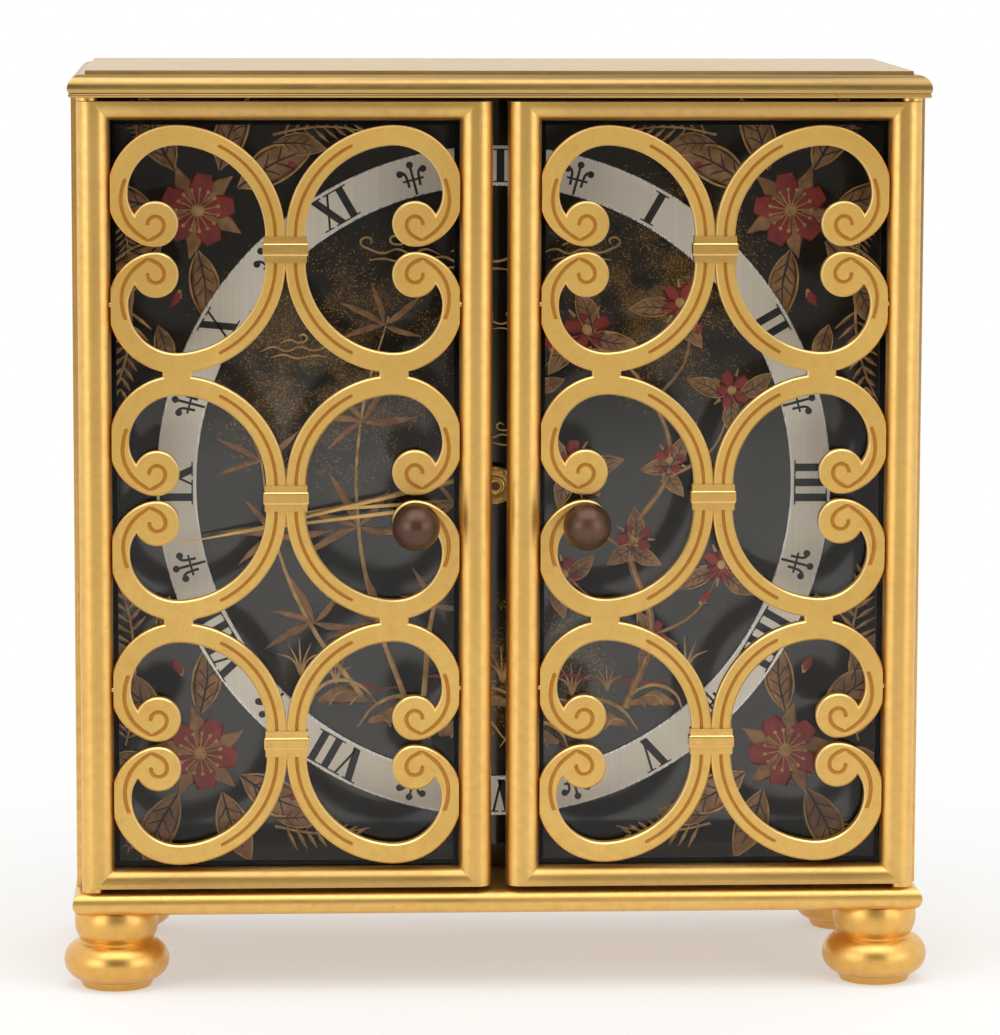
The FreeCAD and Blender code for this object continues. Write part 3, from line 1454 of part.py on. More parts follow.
def door_pieces():
    return {
        "door_frame": door_frame(),
        "door_glass": door_glass(),
        "glass_retainer": glass_retainer(),
        "scroll_grille": scroll_grille(),
        "grille_collars": group(grille_collars()),
        "grille_pins": group(grille_pin_tools(grille_pin_radius)),
        "door_knob": door_knob(),
    }


def all_pieces():
    pieces = {
        "cornice_top": cornice_top(),
        "base_plate": base_plate(),
        "case_side_right": case_side_right(),
        "case_side_left": to_left(case_side_right()),
        "back_panel": back_panel(),
        "rear_cover": rear_cover(),
        "rear_screws": group(rear_screws()),
        "tie_rods": group(tie_rods()),
        "base_screws": group(base_screws()),
        "bun_foot_front_left": bun_foot(-foot_x, -foot_y),
        "bun_foot_front_right": bun_foot(foot_x, -foot_y),
        "bun_foot_rear_left": bun_foot(-foot_x, foot_y),
        "bun_foot_rear_right": bun_foot(foot_x, foot_y),
        "door_pivots": group(door_pivots()),
        "dial_plate": dial_plate(),
        "dial_screws": group(dial_screws()),
        "chapter_ring": chapter_ring(),
        "hour_hand": hand(hour_hand_length, hour_pipe_radius + seat_fit, hour_hand_y, 720),
        "minute_hand": hand(minute_hand_length, cannon_radius + seat_fit, minute_hand_y, 60),
        "hand_nut": hand_nut(),
        "centre_arbor": centre_arbor(),
        "cannon_pinion": cannon_pinion(),
        "minute_wheel": minute_wheel(),
        "hour_wheel": hour_wheel(),
        "set_knob": set_knob(),
        "movement_front_plate": movement_front_plate(),
        "movement_back_plate": movement_back_plate(),
        "movement_pillars": group(movement_pillars()),
        "movement_screws": group(movement_screws()),
        "dial_posts": group(dial_posts()),
        "balance_cock": balance_cock(),
        "barrel": barrel(),
        "mainspring": mainspring(),
        "barrel_arbor": barrel_arbor(),
        "ratchet_wheel": ratchet_wheel(),
        "winding_key": winding_key(),
        "click": click(),
        "click_spring": click_spring(),
        "centre_wheel": centre_wheel(),
        "third_wheel": third_wheel(),
        "fourth_wheel": fourth_wheel(),
        "escape_wheel": escape_wheel(),
        "pallet_lever": pallet_lever(),
        "balance_wheel": balance_wheel(),
        "hairspring": hairspring(),
    }
    for name, shape in door_pieces().items():
        pieces["right_" + name] = shape
        pieces["left_" + name] = to_left(shape)
    return pieces


os.makedirs("parts", exist_ok=True)
for name, shape in all_pieces().items():
    if not shape.isValid():
        print("invalid solid:", name)
    shape.exportStep(f"parts/{name}.step")
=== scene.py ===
# %% [markdown]
# # A cabinet desk clock in gilt brass
# The clock is a small brass cabinet: four turned feet, a moulded top, and two glazed doors with
# scroll grilles in front of a black lacquered dial. Its solids come from CAD and are loaded as a
# fixed frame. This lesson gives every solid its finish, models what is too fine for the CAD
# (numerals, half-hour marks, painted ornament, screw slots) and sets up a plain studio.

# %% Load the frame
import math

import bmesh
import bpy
import numpy as np
from mathutils import Matrix, Vector


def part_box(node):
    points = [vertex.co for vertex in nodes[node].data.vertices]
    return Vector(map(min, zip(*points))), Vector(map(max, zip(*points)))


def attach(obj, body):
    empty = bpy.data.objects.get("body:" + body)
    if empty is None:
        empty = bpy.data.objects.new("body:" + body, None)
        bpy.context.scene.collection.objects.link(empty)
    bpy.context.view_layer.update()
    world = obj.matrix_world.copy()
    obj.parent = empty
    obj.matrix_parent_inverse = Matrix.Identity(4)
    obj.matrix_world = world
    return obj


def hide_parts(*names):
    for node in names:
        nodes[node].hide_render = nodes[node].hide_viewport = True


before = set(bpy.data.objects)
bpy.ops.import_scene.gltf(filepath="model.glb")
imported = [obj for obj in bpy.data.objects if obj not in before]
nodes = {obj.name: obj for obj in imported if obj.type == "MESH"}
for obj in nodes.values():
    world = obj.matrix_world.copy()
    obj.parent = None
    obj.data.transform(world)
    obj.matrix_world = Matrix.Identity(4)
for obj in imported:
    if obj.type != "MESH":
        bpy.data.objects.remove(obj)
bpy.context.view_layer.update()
mm = 0.001

# %% [markdown]
# ## Camera
# The photographer stood a little left of the middle and looked slightly down with a long lens.
# The camera could be found by eye, but here it was fitted to the corners of the case, so the
# perspective of the cornice and the doors agrees. The tiny roll is the tilt of the picture.

# %% Set the camera
camera_place = Vector((-55.8, -1116.5, 249.2)) * mm
camera_target = Vector((-0.145, -40.0, 107.3)) * mm
camera_lens = 170.7
camera_roll = 0.003
film_width = 36

bpy.ops.object.select_all(action="DESELECT")
bpy.ops.object.camera_add(location=camera_place)
camera = bpy.context.object
look = (camera_target - camera_place).to_track_quat("-Z", "Y")
camera.rotation_euler = (look.to_matrix() @ Matrix.Rotation(camera_roll, 3, "Z")).to_euler()
camera.data.lens = camera_lens
camera.data.sensor_width = film_width
bpy.context.scene.camera = camera
print("camera", round((camera_place - camera_target).length, 3), "m from the doors")

# %% [markdown]
# ## Studio
# A pale floor, a white surround and softboxes, as for a catalogue picture. Polished metal shows
# what it faces, so the white surround is also seen by reflections. Towards the photographer the
# room is dark: a bent card stands there, out of the picture. The upper half of the glass and the
# lacquer mirror the card and stay clear, the lower half mirrors the pale floor and gets a grey
# veil.


# %% Node helpers
def add_node(material, kind, sockets={}, **settings):
    """Adds a shader node and feeds its sockets, by name or number, with values or sockets."""
    made = material.node_tree.nodes.new(kind)
    for name, value in settings.items():
        setattr(made, name, value)
    for key, value in sockets.items():
        if isinstance(value, bpy.types.NodeSocket):
            material.node_tree.links.new(value, made.inputs[key])
        else:
            made.inputs[key].default_value = value
    return made


def plug(material, value, socket):
    """Links a node's output to a socket."""
    material.node_tree.links.new(value, socket)


def mix_shaders(tree, factor, first, second):
    """The first shader where factor is 0, the second where it is 1."""
    return add_node(tree, "ShaderNodeMixShader", {0: factor, 1: first, 2: second}).outputs[0]


def seen_directly(tree):
    """1 for rays from the camera, gloss and glass, 0 for rays that only carry light."""
    path = add_node(tree, "ShaderNodeLightPath").outputs
    seen = add_node(tree, "ShaderNodeMath", {0: path["Is Camera Ray"], 1: path["Is Glossy Ray"]},
                    operation="ADD")
    seen = add_node(tree, "ShaderNodeMath", {0: seen.outputs[0], 1: path["Is Transmission Ray"]},
                    operation="ADD", use_clamp=True)
    return seen.outputs[0]


# %% White surround
bpy.context.scene.view_settings.view_transform = "Standard"
world = bpy.data.worlds.new("white_surround")
world.use_nodes = True
bpy.context.scene.world = world
world_light = 0.75
soft = world.node_tree.nodes["Background"]
soft.inputs["Color"].default_value = (1.0, 1.0, 1.0, 1)
soft.inputs["Strength"].default_value = world_light
white = add_node(world, "ShaderNodeBackground", {"Color": (1, 1, 1, 1), "Strength": 1.0})
surround = mix_shaders(world, seen_directly(world), soft.outputs[0], white.outputs[0])
plug(world, surround, world.node_tree.nodes["World Output"].inputs[0])
print("white surround lights at", world_light)


# %% Floor
def plain_paint(name, colour, roughness):
    """A plain paint: one colour, one roughness."""
    material = bpy.data.materials.new(name)
    material.use_nodes = True
    shader = material.node_tree.nodes["Principled BSDF"]
    shader.inputs["Base Color"].default_value = (*colour, 1)
    shader.inputs["Roughness"].default_value = roughness
    return material


def show(material, shader):
    """Shows this shader in place of the material's plain one."""
    plug(material, shader, material.node_tree.nodes["Material Output"].inputs[0])


floor_size = 24
shadow_reach, white_reach = 0.06, 0.45
shadow_lift = 0.4
pale_floor = plain_paint("pale_floor", (0.9, 0.9, 0.895), 0.8)
shader = pale_floor.node_tree.nodes["Principled BSDF"]
shader.inputs["Specular IOR Level"].default_value = 0.1
spot = add_node(pale_floor, "ShaderNodeTexCoord").outputs["Object"]
away = add_node(pale_floor, "ShaderNodeVectorMath", {0: spot}, operation="LENGTH").outputs["Value"]
fade = add_node(pale_floor, "ShaderNodeMapRange",
                {0: away, 1: shadow_reach, 2: white_reach, 3: shadow_lift},
                interpolation_type="SMOOTHSTEP").outputs[0]
fade = add_node(pale_floor, "ShaderNodeMath", {0: fade, 1: seen_directly(pale_floor)},
                operation="MULTIPLY").outputs[0]
glow = add_node(pale_floor, "ShaderNodeEmission", {"Color": (1, 1, 1, 1), "Strength": 1.0})
lit = mix_shaders(pale_floor, fade, shader.outputs[0], glow.outputs[0])
below = add_node(pale_floor, "ShaderNodeNewGeometry").outputs["Backfacing"]
clear = add_node(pale_floor, "ShaderNodeBsdfTransparent")
show(pale_floor, mix_shaders(pale_floor, below, lit, clear.outputs[0]))

bpy.ops.object.select_all(action="DESELECT")
bpy.ops.mesh.primitive_plane_add(size=floor_size)
floor = bpy.context.object
floor.name = "floor"
floor.data.materials.append(pale_floor)
print("floor of", floor_size, "m, white from", white_reach, "m on")


# %% Dark card
def settle():
    """Puts the object's place, turn and scale into its mesh, so that it sits at the origin."""
    bpy.ops.object.transform_apply(location=True, rotation=True, scale=True)


def select_points(wanted):
    """Selects the points of the open mesh that are wanted, with the edges and faces between."""
    data = bpy.context.object.data
    mesh = bmesh.from_edit_mesh(data)
    for v in mesh.verts:
        v.select = wanted(v)
    mesh.select_flush(True)
    mesh.select_flush(False)
    bmesh.update_edit_mesh(data)


card_near, card_far = 0.95, 1.7
card_width, card_height = 1.7, 1.5
card_lift = 0.004
card_fade = 0.5
card_middle = -(card_near + card_far) / 2
bpy.ops.object.select_all(action="DESELECT")
bpy.ops.mesh.primitive_plane_add(size=1, location=(0, card_middle, card_lift))
card = bpy.context.object
card.name = "dark_card"
card.scale = (card_width, card_far - card_near, 1)
settle()
bpy.ops.object.mode_set(mode="EDIT")
select_points(lambda v: v.co.y < card_middle)
bpy.ops.mesh.extrude_region_move(TRANSFORM_OT_translate={"value": (0, 0, card_height)})
bpy.ops.object.mode_set(mode="OBJECT")
black_card = plain_paint("dark_card", (0.17, 0.155, 0.135), 0.9)
spot = add_node(black_card, "ShaderNodeTexCoord").outputs["Object"]
depth = add_node(black_card, "ShaderNodeSeparateXYZ", {0: spot}).outputs[1]
fade = add_node(black_card, "ShaderNodeMapRange",
                {0: depth, 1: -card_near, 2: -card_near - card_fade},
                interpolation_type="SMOOTHSTEP").outputs[0]
clear = add_node(black_card, "ShaderNodeBsdfTransparent")
dark = black_card.node_tree.nodes["Principled BSDF"]
show(black_card, mix_shaders(black_card, fade, clear.outputs[0], dark.outputs[0]))
card.data.materials.append(black_card)
card.visible_camera = card.visible_shadow = card.visible_diffuse = False
print("card with", len(card.data.polygons), "faces")

# %% Softboxes
softbox_aim = Vector((0, 0, 0.1))
softboxes = {
    "left_softbox": ((-1.12, -1.05, 0.28), (0.9, 1.0), 4.3),
    "right_softbox": ((1.12, -1.05, 0.28), (0.9, 1.0), 4.0),
    "top_softbox": ((0.0, -0.6, 1.7), (2.4, 1.5), 18.0),
}
for name, (place, (wide, high), watts) in softboxes.items():
    lamp = bpy.data.lights.new(name, "AREA")
    lamp.shape = "RECTANGLE"
    lamp.size, lamp.size_y = wide, high
    lamp.energy = watts
    box = bpy.data.objects.new(name, lamp)
    bpy.context.scene.collection.objects.link(box)
    box.location = place
    box.rotation_euler = (softbox_aim - box.location).to_track_quat("-Z", "Y").to_euler()
print(len(softboxes), "softboxes")

# %% [markdown]
# ## Finishes
# Gilt brass is never one flat yellow. Under a loupe it has a fine satin grain that follows the
# brushing, patches where the gold is a little thicker, a mottle from years of handling and a few
# dark specks. Its edges are painted paler, partly as rubbed wear and partly as painted highlight,
# and some hollows and mouldings get painted shade. Each of these is a noise or a mask on Object
# coordinates, so it stays on the metal when a door swings. A thin coat of clear varnish over the
# gold gives the highlights their cream.


# %% Finish helpers
def metal(name, colour, metallic, roughness):
    """A new material and its shader, with what is the same all over on the shader's own sockets."""
    material = plain_paint(name, colour, roughness)
    shader = material.node_tree.nodes["Principled BSDF"]
    shader.inputs["Metallic"].default_value = metallic
    return material, shader


def where(material, kind="Object"):
    """The place of a point on the piece, or its normal there."""
    return add_node(material, "ShaderNodeTexCoord").outputs[kind]


def grain(material, cells, detail=3.0, place=None):
    """Noise with this many cells per metre, one number or one each along x, y and z."""
    place = where(material) if place is None else place
    cells = cells if isinstance(cells, tuple) else (cells,) * 3
    spread = add_node(material, "ShaderNodeMapping", {"Vector": place, "Scale": cells})
    return add_node(material, "ShaderNodeTexNoise", {"Vector": spread.outputs[0], "Scale": 1.0,
                                                     "Detail": detail}).outputs["Fac"]


def maths(material, operation, first, second=0.0):
    """The result of one Math node."""
    return add_node(material, "ShaderNodeMath", {0: first, 1: second},
                    operation=operation).outputs[0]


def span(material, value, low, high, to_low=0.0, to_high=1.0):
    """Maps low..high to to_low..to_high and holds it there."""
    return add_node(material, "ShaderNodeMapRange",
                    {0: value, 1: low, 2: high, 3: to_low, 4: to_high}).outputs[0]


def tint(material, factor, first, second):
    """Mixes two colours, each a colour or a socket."""
    first, second = ((*c, 1) if isinstance(c, tuple) else c for c in (first, second))
    return add_node(material, "ShaderNodeMix", {0: factor, 6: first, 7: second},
                    data_type="RGBA").outputs[2]


def relief(material, shader, height, strength, depth):
    """Bumps as high as depth where height is 1."""
    bump = add_node(material, "ShaderNodeBump",
                    {"Height": height, "Strength": strength, "Distance": depth})
    plug(material, bump.outputs[0], shader.inputs["Normal"])


def wander(material, shader, noise, colours, rough, at=(0.3, 0.7)):
    """Lets the colour and the roughness wander between two values each, as a noise does."""
    colour = tint(material, span(material, noise, *at), *colours)
    plug(material, colour, shader.inputs["Base Color"])
    plug(material, span(material, noise, 0.3, 0.7, *rough), shader.inputs["Roughness"])


def parts_of(material, vector):
    """The x, y and z of a vector."""
    return add_node(material, "ShaderNodeSeparateXYZ", {0: vector}).outputs


def from_axis(material, x, z):
    """Distance from a front-to-back axis through x and z."""
    spot = parts_of(material, where(material))
    dx, dz = maths(material, "SUBTRACT", spot[0], x), maths(material, "SUBTRACT", spot[2], z)
    return maths(material, "SQRT", maths(material, "ADD", maths(material, "MULTIPLY", dx, dx),
                                         maths(material, "MULTIPLY", dz, dz)))


def dress(material, *names):
    """Gives CAD nodes a finish in place of the plain one they came with."""
    for name in names:
        nodes[name].data.materials.clear()
        nodes[name].data.materials.append(material)
    print(material.name, "on", ", ".join(names))


# %% [markdown]
# ## Satin gilt
# One recipe serves the case, the doors and the feet. What differs is the direction of the brushing,
# which edges are painted paler and which places get painted shade, the roughness and the tone of
# the gold, so these come in as arguments. The colour steps from a warm gold to a paler one along
# the edges, partly rubbed wear and partly painted highlight, and down to brown in the specks.

# %% Satin gilt recipe
gold_warm = (0.80, 0.485, 0.118)
gold_thick = (0.85, 0.535, 0.145)
gold_rich = (0.77, 0.43, 0.088)
gold_light = (0.78, 0.49, 0.112)
gold_pale = (0.90, 0.63, 0.25)
gold_deep = (0.52, 0.22, 0.03)
# Painted shade for the engraved grooves of the grilles.
gold_groove_shade = (0.50, 0.235, 0.036)
# A darker gold for the cornice, as painted shade.
gold_shaded_olive = (0.54, 0.35, 0.095)
# Painted shade on the cornice moulding and the door rails.
gold_painted_shade = (0.21, 0.13, 0.033)
gold_brown = (0.14, 0.06, 0.015)


def satin_gilt(name, brushing, edges=None, shade_mask=None, rough=(0.24, 0.36), brush_depth=0.15,
               gold=gold_warm, shade_colour=gold_groove_shade):
    """Gilt brass: brushing makes the fine lines; the edge mask paints paler places, partly rubbed
    wear and partly painted highlight; the shade mask paints painted shade in its own colour.
    """
    material, shader = metal(name, gold, 1.0, 0.35)
    shader.inputs["Coat Weight"].default_value = 0.3
    shader.inputs["Coat Roughness"].default_value = 0.3
    shader.inputs["Coat IOR"].default_value = 2.0
    lines = brushing(material)
    patches = grain(material, 28, 5.0)
    mottle = grain(material, 460, 5.0)
    specks = span(material, grain(material, 900, 2.0), 0.74, 0.82)
    thicker = tuple(g * t / w for g, t, w in zip(gold, gold_thick, gold_warm))
    colour = tint(material, span(material, patches, 0.35, 0.7), gold, thicker)
    colour = tint(material, span(material, lines, 0.3, 0.75, 0.0, 0.14), colour, gold_deep)
    colour = tint(material, span(material, mottle, 0.42, 0.72, 0.0, 0.24), colour, gold_deep)
    roughness = span(material, lines, 0.25, 0.75, *rough)
    roughness = maths(material, "ADD", roughness, span(material, patches, 0.3, 0.7, -0.03, 0.05))
    roughness = maths(material, "ADD", roughness, span(material, mottle, 0.35, 0.7, -0.03, 0.04))
    # Edges: paler gold and lower roughness, partly rubbed wear, partly painted highlight.
    if edges is not None:
        rubbed_and_highlight = edges(material)
        colour = tint(material, rubbed_and_highlight, colour, gold_pale)
        roughness = maths(material, "SUBTRACT", roughness,
                          maths(material, "MULTIPLY", rubbed_and_highlight, 0.12))
    # Painted shade: the masked places are darkened towards the shade colour.
    if shade_mask is not None:
        colour = tint(material, shade_mask(material), colour, shade_colour)
    colour = tint(material, maths(material, "MULTIPLY", specks, 0.55), colour, gold_brown)
    plug(material, colour, shader.inputs["Base Color"])
    plug(material, roughness, shader.inputs["Roughness"])
    relief(material, shader, lines, brush_depth, 0.02 * mm)
    return material


def brushed_along(axis):
    """Brush lines along x, y or z: the noise is drawn out in that direction."""
    cells = tuple(14 if a == axis else 2600 for a in "xyz")
    return lambda material: grain(material, cells, 3.0)


def box_edges(material):
    """Rounded edges of straight bars, faces whose normal is along no axis: painted paler, partly
    rubbed wear and partly painted highlight.
    """
    normal = parts_of(material, where(material, "Normal"))
    sizes = [maths(material, "ABSOLUTE", normal[i]) for i in range(3)]
    largest = maths(material, "MAXIMUM", maths(material, "MAXIMUM", sizes[0], sizes[1]), sizes[2])
    return span(material, largest, 0.99, 0.78, 0.0, 0.8)


# %% Case finishes
def painted_moulding_shade(material):
    """Painted shade in the moulding: dark streaks along x where the face turns from front to top.
    """
    upward = parts_of(material, where(material, "Normal"))[2]
    rounded = maths(material, "MULTIPLY", span(material, upward, 0.05, 0.4),
                    span(material, upward, 0.995, 0.95))
    streaks = span(material, grain(material, (9, 700, 700), 4.0), 0.38, 0.62, 0.25, 1.0)
    return maths(material, "MULTIPLY", rounded, streaks)


# The cornice is painted in a darker olive gold, with a band of painted shade on its moulding.
dress(satin_gilt("gilt_top", brushed_along("x"), shade_mask=painted_moulding_shade, rough=(0.28, 0.40),
                 gold=gold_shaded_olive, shade_colour=gold_painted_shade), "cornice_top")
dress(satin_gilt("gilt_base", brushed_along("x"), rough=(0.34, 0.44)), "base_plate")
dress(satin_gilt("gilt_sides", brushed_along("z"), box_edges), "case_side_left", "case_side_right",
      "back_panel")

# %% [markdown]
# ## Turned pieces
# Feet, knobs and the round rear cover come off a lathe, so their fine lines run round them. For the
# feet that means noise that changes only with height; for pieces turned about a front-to-back axis
# it changes only with depth and with the distance from that axis, which gives rings on a flat face.


# %% Turned finishes
def turned_upright(material):
    """Fine lines round an upright axis."""
    return span(material, grain(material, (20, 20, 3600), 2.0), 0.0, 1.0, 0.2, 0.68)


def turned_level(node):
    """Fine lines round the front-to-back axis of a node."""
    low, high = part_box(node)
    middle = (low + high) / 2

    def rings(material):
        depth = parts_of(material, where(material))[1]
        radius = from_axis(material, middle.x, middle.z)
        place = add_node(material, "ShaderNodeCombineXYZ", {0: radius, 1: depth}).outputs[0]
        return grain(material, (1800, 1800, 1), 3.0, place)

    return rings


feet = [n for n in nodes if n.startswith("bun_foot")]
dress(satin_gilt("gilt_feet", turned_upright, rough=(0.33, 0.41), brush_depth=0.05, gold=gold_rich),
      *feet)
for node in ("rear_cover", "set_knob", "hand_nut"):
    dress(satin_gilt("gilt_" + node, turned_level(node), rough=(0.22, 0.36)), node)
dress(satin_gilt("gilt_small", brushed_along("x"), rough=(0.26, 0.4)), "winding_key", "door_pivots")

# %% [markdown]
# ## Door frames
# The stiles are brushed up and down and the rails from side to side, and the lines meet in a mitre.
# One material can do both: it compares how far a point is from the upright edge with how far it is
# from the level edge, and takes the brushing of the nearer bar. The same comparison paints the
# rails darker than the stiles, as painted shade.


# %% Door frame finish
# How far the rails are painted towards the shade colour, as painted shade.
rail_shade_share = 0.36


def mitred_brushing(node):
    """The brushing of a door frame, and the painted shade of its rails."""
    low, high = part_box(node)
    middle, half = (low + high) / 2, (high - low) / 2

    def past_mitre(material):
        """How far a point lies beyond the mitre: less than 0 on the stiles, more on the rails."""
        spot = parts_of(material, where(material))
        inward = []
        for i in (0, 2):
            away = maths(material, "ABSOLUTE", maths(material, "SUBTRACT", spot[i], middle[i]))
            inward.append(maths(material, "SUBTRACT", half[i], away))
        return maths(material, "SUBTRACT", inward[0], inward[1])

    def lines(material):
        rail = maths(material, "GREATER_THAN", past_mitre(material))
        upright, level = brushed_along("z")(material), brushed_along("x")(material)
        return add_node(material, "ShaderNodeMix", {0: rail, 2: upright, 3: level}).outputs[0]

    def rail_painted_shade(material):
        return span(material, past_mitre(material), -3 * mm, 14 * mm, 0.0, rail_shade_share)

    return lines, rail_painted_shade


for side in ("left", "right"):
    frame_node = side + "_door_frame"
    lines, rail_painted_shade = mitred_brushing(frame_node)
    dress(satin_gilt("gilt_" + frame_node, lines, shade_mask=rail_painted_shade, rough=(0.34, 0.44),
                     shade_colour=gold_painted_shade), frame_node)
    dress(satin_gilt("gilt_" + side + "_pins", brushed_along("x")), side + "_grille_pins")

# %% [markdown]
# ## Scroll grilles
# The grilles are cut from plate, chamfered and engraved. Their faces have a grained satin, their
# chamfers are painted paler as thin highlight lines, and the engraved grooves are painted darker as
# painted shade. Chamfers are found by how far their normal leans from the face, grooves by how deep
# they lie under it.


# %% Grille finish
def grained(material):
    """A satin without direction."""
    return grain(material, 2600, 3.0)


def grille_masks(node):
    """The chamfers, painted as highlight lines, and the engraved grooves, painted as shade, of a
    grille.
    """
    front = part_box(node)[0].y

    def facing(material):
        """1 on the face, 0 on its side walls; chamfers are near 0.7, groove walls steeper."""
        return maths(material, "MULTIPLY", parts_of(material, where(material, "Normal"))[1], -1.0)

    # Painted highlight: chamfers are painted paler.
    def chamfers(material):
        lean = facing(material)
        return maths(material, "MULTIPLY", span(material, lean, 0.64, 0.68),
                     span(material, lean, 0.80, 0.74))

    # Painted shade: groove floors and walls are darkened.
    def grooves(material):
        depth = maths(material, "SUBTRACT", parts_of(material, where(material))[1], front)
        lean = facing(material)
        floors = maths(material, "MULTIPLY", span(material, depth, 0.3 * mm, 0.4 * mm),
                       span(material, lean, 0.8, 0.95))
        walls = maths(material, "MULTIPLY", span(material, lean, 0.24, 0.30),
                      span(material, lean, 0.66, 0.61, 0.0, 0.15))
        return maths(material, "MAXIMUM", floors, walls)

    return chamfers, grooves


for side in ("left", "right"):
    grille = side + "_scroll_grille"
    chamfers, grooves = grille_masks(grille)
    dress(satin_gilt("gilt_" + grille, grained, chamfers, grooves, rough=(0.40, 0.54),
                     brush_depth=0.7, gold=gold_light), grille)
    dress(satin_gilt("gilt_" + side + "_collars", brushed_along("x"), box_edges,
                     rough=(0.28, 0.40)), side + "_grille_collars")

# %% [markdown]
# ## Door knobs
# The knobs are brass balls with a dark brown patina under a thin varnish, in which the studio shows
# softly. A little brass shines through where fingers touch the front, so the colour is mixed by how
# near a point lies to the front of the ball.

# %% Knob finish
touched_depth = 1.6 * mm
for side in ("left", "right"):
    knob = side + "_door_knob"
    material, shader = metal("brown_patina_" + side, (0.07, 0.028, 0.016), 0.75, 0.24)
    cloudy = grain(material, 260, 4.0)
    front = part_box(knob)[0].y
    depth = parts_of(material, where(material))[1]
    touched = span(material, depth, front + touched_depth, front, 0.0, 0.35)
    colour = tint(material, span(material, cloudy, 0.35, 0.7), (0.06, 0.024, 0.014),
                  (0.11, 0.05, 0.028))
    colour = tint(material, touched, colour, (0.16, 0.085, 0.05))
    plug(material, colour, shader.inputs["Base Color"])
    plug(material, span(material, cloudy, 0.3, 0.7, 0.38, 0.5), shader.inputs["Roughness"])
    shader.inputs["Coat Weight"].default_value = 0.3
    shader.inputs["Coat Roughness"].default_value = 0.12
    shader.inputs["Coat IOR"].default_value = 1.5
    dress(material, knob)

# %% [markdown]
# ## Door glass
# Clear flat glass that mirrors only a little, as bloomed picture glass does. Cycles would hold lamp
# light back at a refracting pane, so the pane is transparent to shadow rays and glass to all
# others.

# %% Glass
glass, shader = metal("door_glass", (1.0, 1.0, 1.0), 0.0, 0.0)
shader.inputs["Transmission Weight"].default_value = 1.0
shader.inputs["IOR"].default_value = 1.25
clear = add_node(glass, "ShaderNodeBsdfTransparent", {"Color": (0.96, 0.97, 0.96, 1)})
ray = add_node(glass, "ShaderNodeLightPath")
show(glass, mix_shaders(glass, ray.outputs["Is Shadow Ray"], shader.outputs[0], clear.outputs[0]))
dress(glass, "left_door_glass", "right_door_glass")

# %% [markdown]
# ## Glass retainers
# A slip frame behind each pane holds it in its rebate. It is blackened brass, so that it doesn't
# show as a bright line beside the dial: nearly black, with brown where the blacking has worn thin.

# %% Blackened brass
blackened, shader = metal("blackened_brass", (0.018, 0.015, 0.012), 0.6, 0.5)
wander(blackened, shader, grain(blackened, 300, 5.0),
       ((0.012, 0.0105, 0.009), (0.05, 0.032, 0.016)), (0.42, 0.6), at=(0.45, 0.75))
dress(blackened, "left_glass_retainer", "right_glass_retainer")

# %% [markdown]
# ## Chapter ring
# The ring is silvered brass, brushed straight up and down after it was turned, and its two rims are
# burnished bright. The rims are found by their distance from the dial's middle.

# %% Silvered ring
ring_low, ring_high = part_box("chapter_ring")
dial_centre = (ring_low + ring_high) / 2
ring_face = ring_low.y
ring_points = np.array([v.co for v in nodes["chapter_ring"].data.vertices])
ring_points = ring_points[ring_points[:, 1] < ring_face + 0.01 * mm]
ring_radii = np.hypot(ring_points[:, 0] - dial_centre.x, ring_points[:, 2] - dial_centre.z)
ring_inner, ring_outer = float(ring_radii.min()), float(ring_radii.max())
rim_width, rim_fade = 0.4 * mm, 0.24 * mm

silvered, shader = metal("silvered_ring", (0.74, 0.68, 0.56), 0.6, 0.42)
lines = brushed_along("z")(silvered)
stains = grain(silvered, 60, 4.0)
radius = from_axis(silvered, dial_centre.x, dial_centre.z)
rims = maths(silvered, "ADD",
             span(silvered, radius, ring_inner + rim_width, ring_inner + rim_fade),
             span(silvered, radius, ring_outer - rim_width, ring_outer - rim_fade))
colour = tint(silvered, span(silvered, lines, 0.3, 0.7), (0.81, 0.75, 0.63), (0.89, 0.83, 0.71))
colour = tint(silvered, span(silvered, stains, 0.4, 0.75, 0.0, 0.5), colour, (0.78, 0.69, 0.55))
colour = tint(silvered, rims, colour, (0.86, 0.84, 0.79))
plug(silvered, colour, shader.inputs["Base Color"])
plug(silvered, maths(silvered, "SUBTRACT", span(silvered, lines, 0.3, 0.7, 0.4, 0.52),
                     maths(silvered, "MULTIPLY", rims, 0.18)), shader.inputs["Roughness"])
relief(silvered, shader, lines, 0.2, 0.02 * mm)
dress(silvered, "chapter_ring")
print("ring from", round(ring_inner / mm, 2), "to", round(ring_outer / mm, 2), "mm")

# %% [markdown]
# ## Lacquered dial
# Black lacquer is rubbed smooth in many coats, so it is nearly a mirror with a very slight
# unevenness. Gold powder was sifted over parts of it while it was wet: fine grains, dense in the
# middle of each cloud and thin at its rim. A noise cut off at a level would give worms, so each
# cell of a Voronoi texture holds one round grain, and the cell's random colour says whether it is
# there.

# %% Lacquer with sifted gold
lacquer, shader = metal("black_lacquer", (0.006, 0.0055, 0.005), 0.0, 0.1)
shader.inputs["IOR"].default_value = 1.6
shader.inputs["Specular Tint"].default_value = (1.0, 0.96, 0.88, 1)
waves = grain(lacquer, 45, 3.0)
dust_places = ((38, 44, 30), (-38, 28, 33), (8, -44, 22))
grains_per_metre, grain_radius, densest = 3400, 0.42, 0.7
cover = 0.0
for x, z, reach in dust_places:
    far = from_axis(lacquer, dial_centre.x + x * mm, dial_centre.z + z * mm)
    dust = span(lacquer, far, reach * mm, 0.25 * reach * mm)
    cover = maths(lacquer, "MAXIMUM", cover, dust)
blotches = grain(lacquer, 150, 5.0)
cover = maths(lacquer, "MULTIPLY", cover, span(lacquer, blotches, 0.36, 0.64))
faces_front = maths(lacquer, "LESS_THAN", parts_of(lacquer, where(lacquer, "Normal"))[1], -0.5)
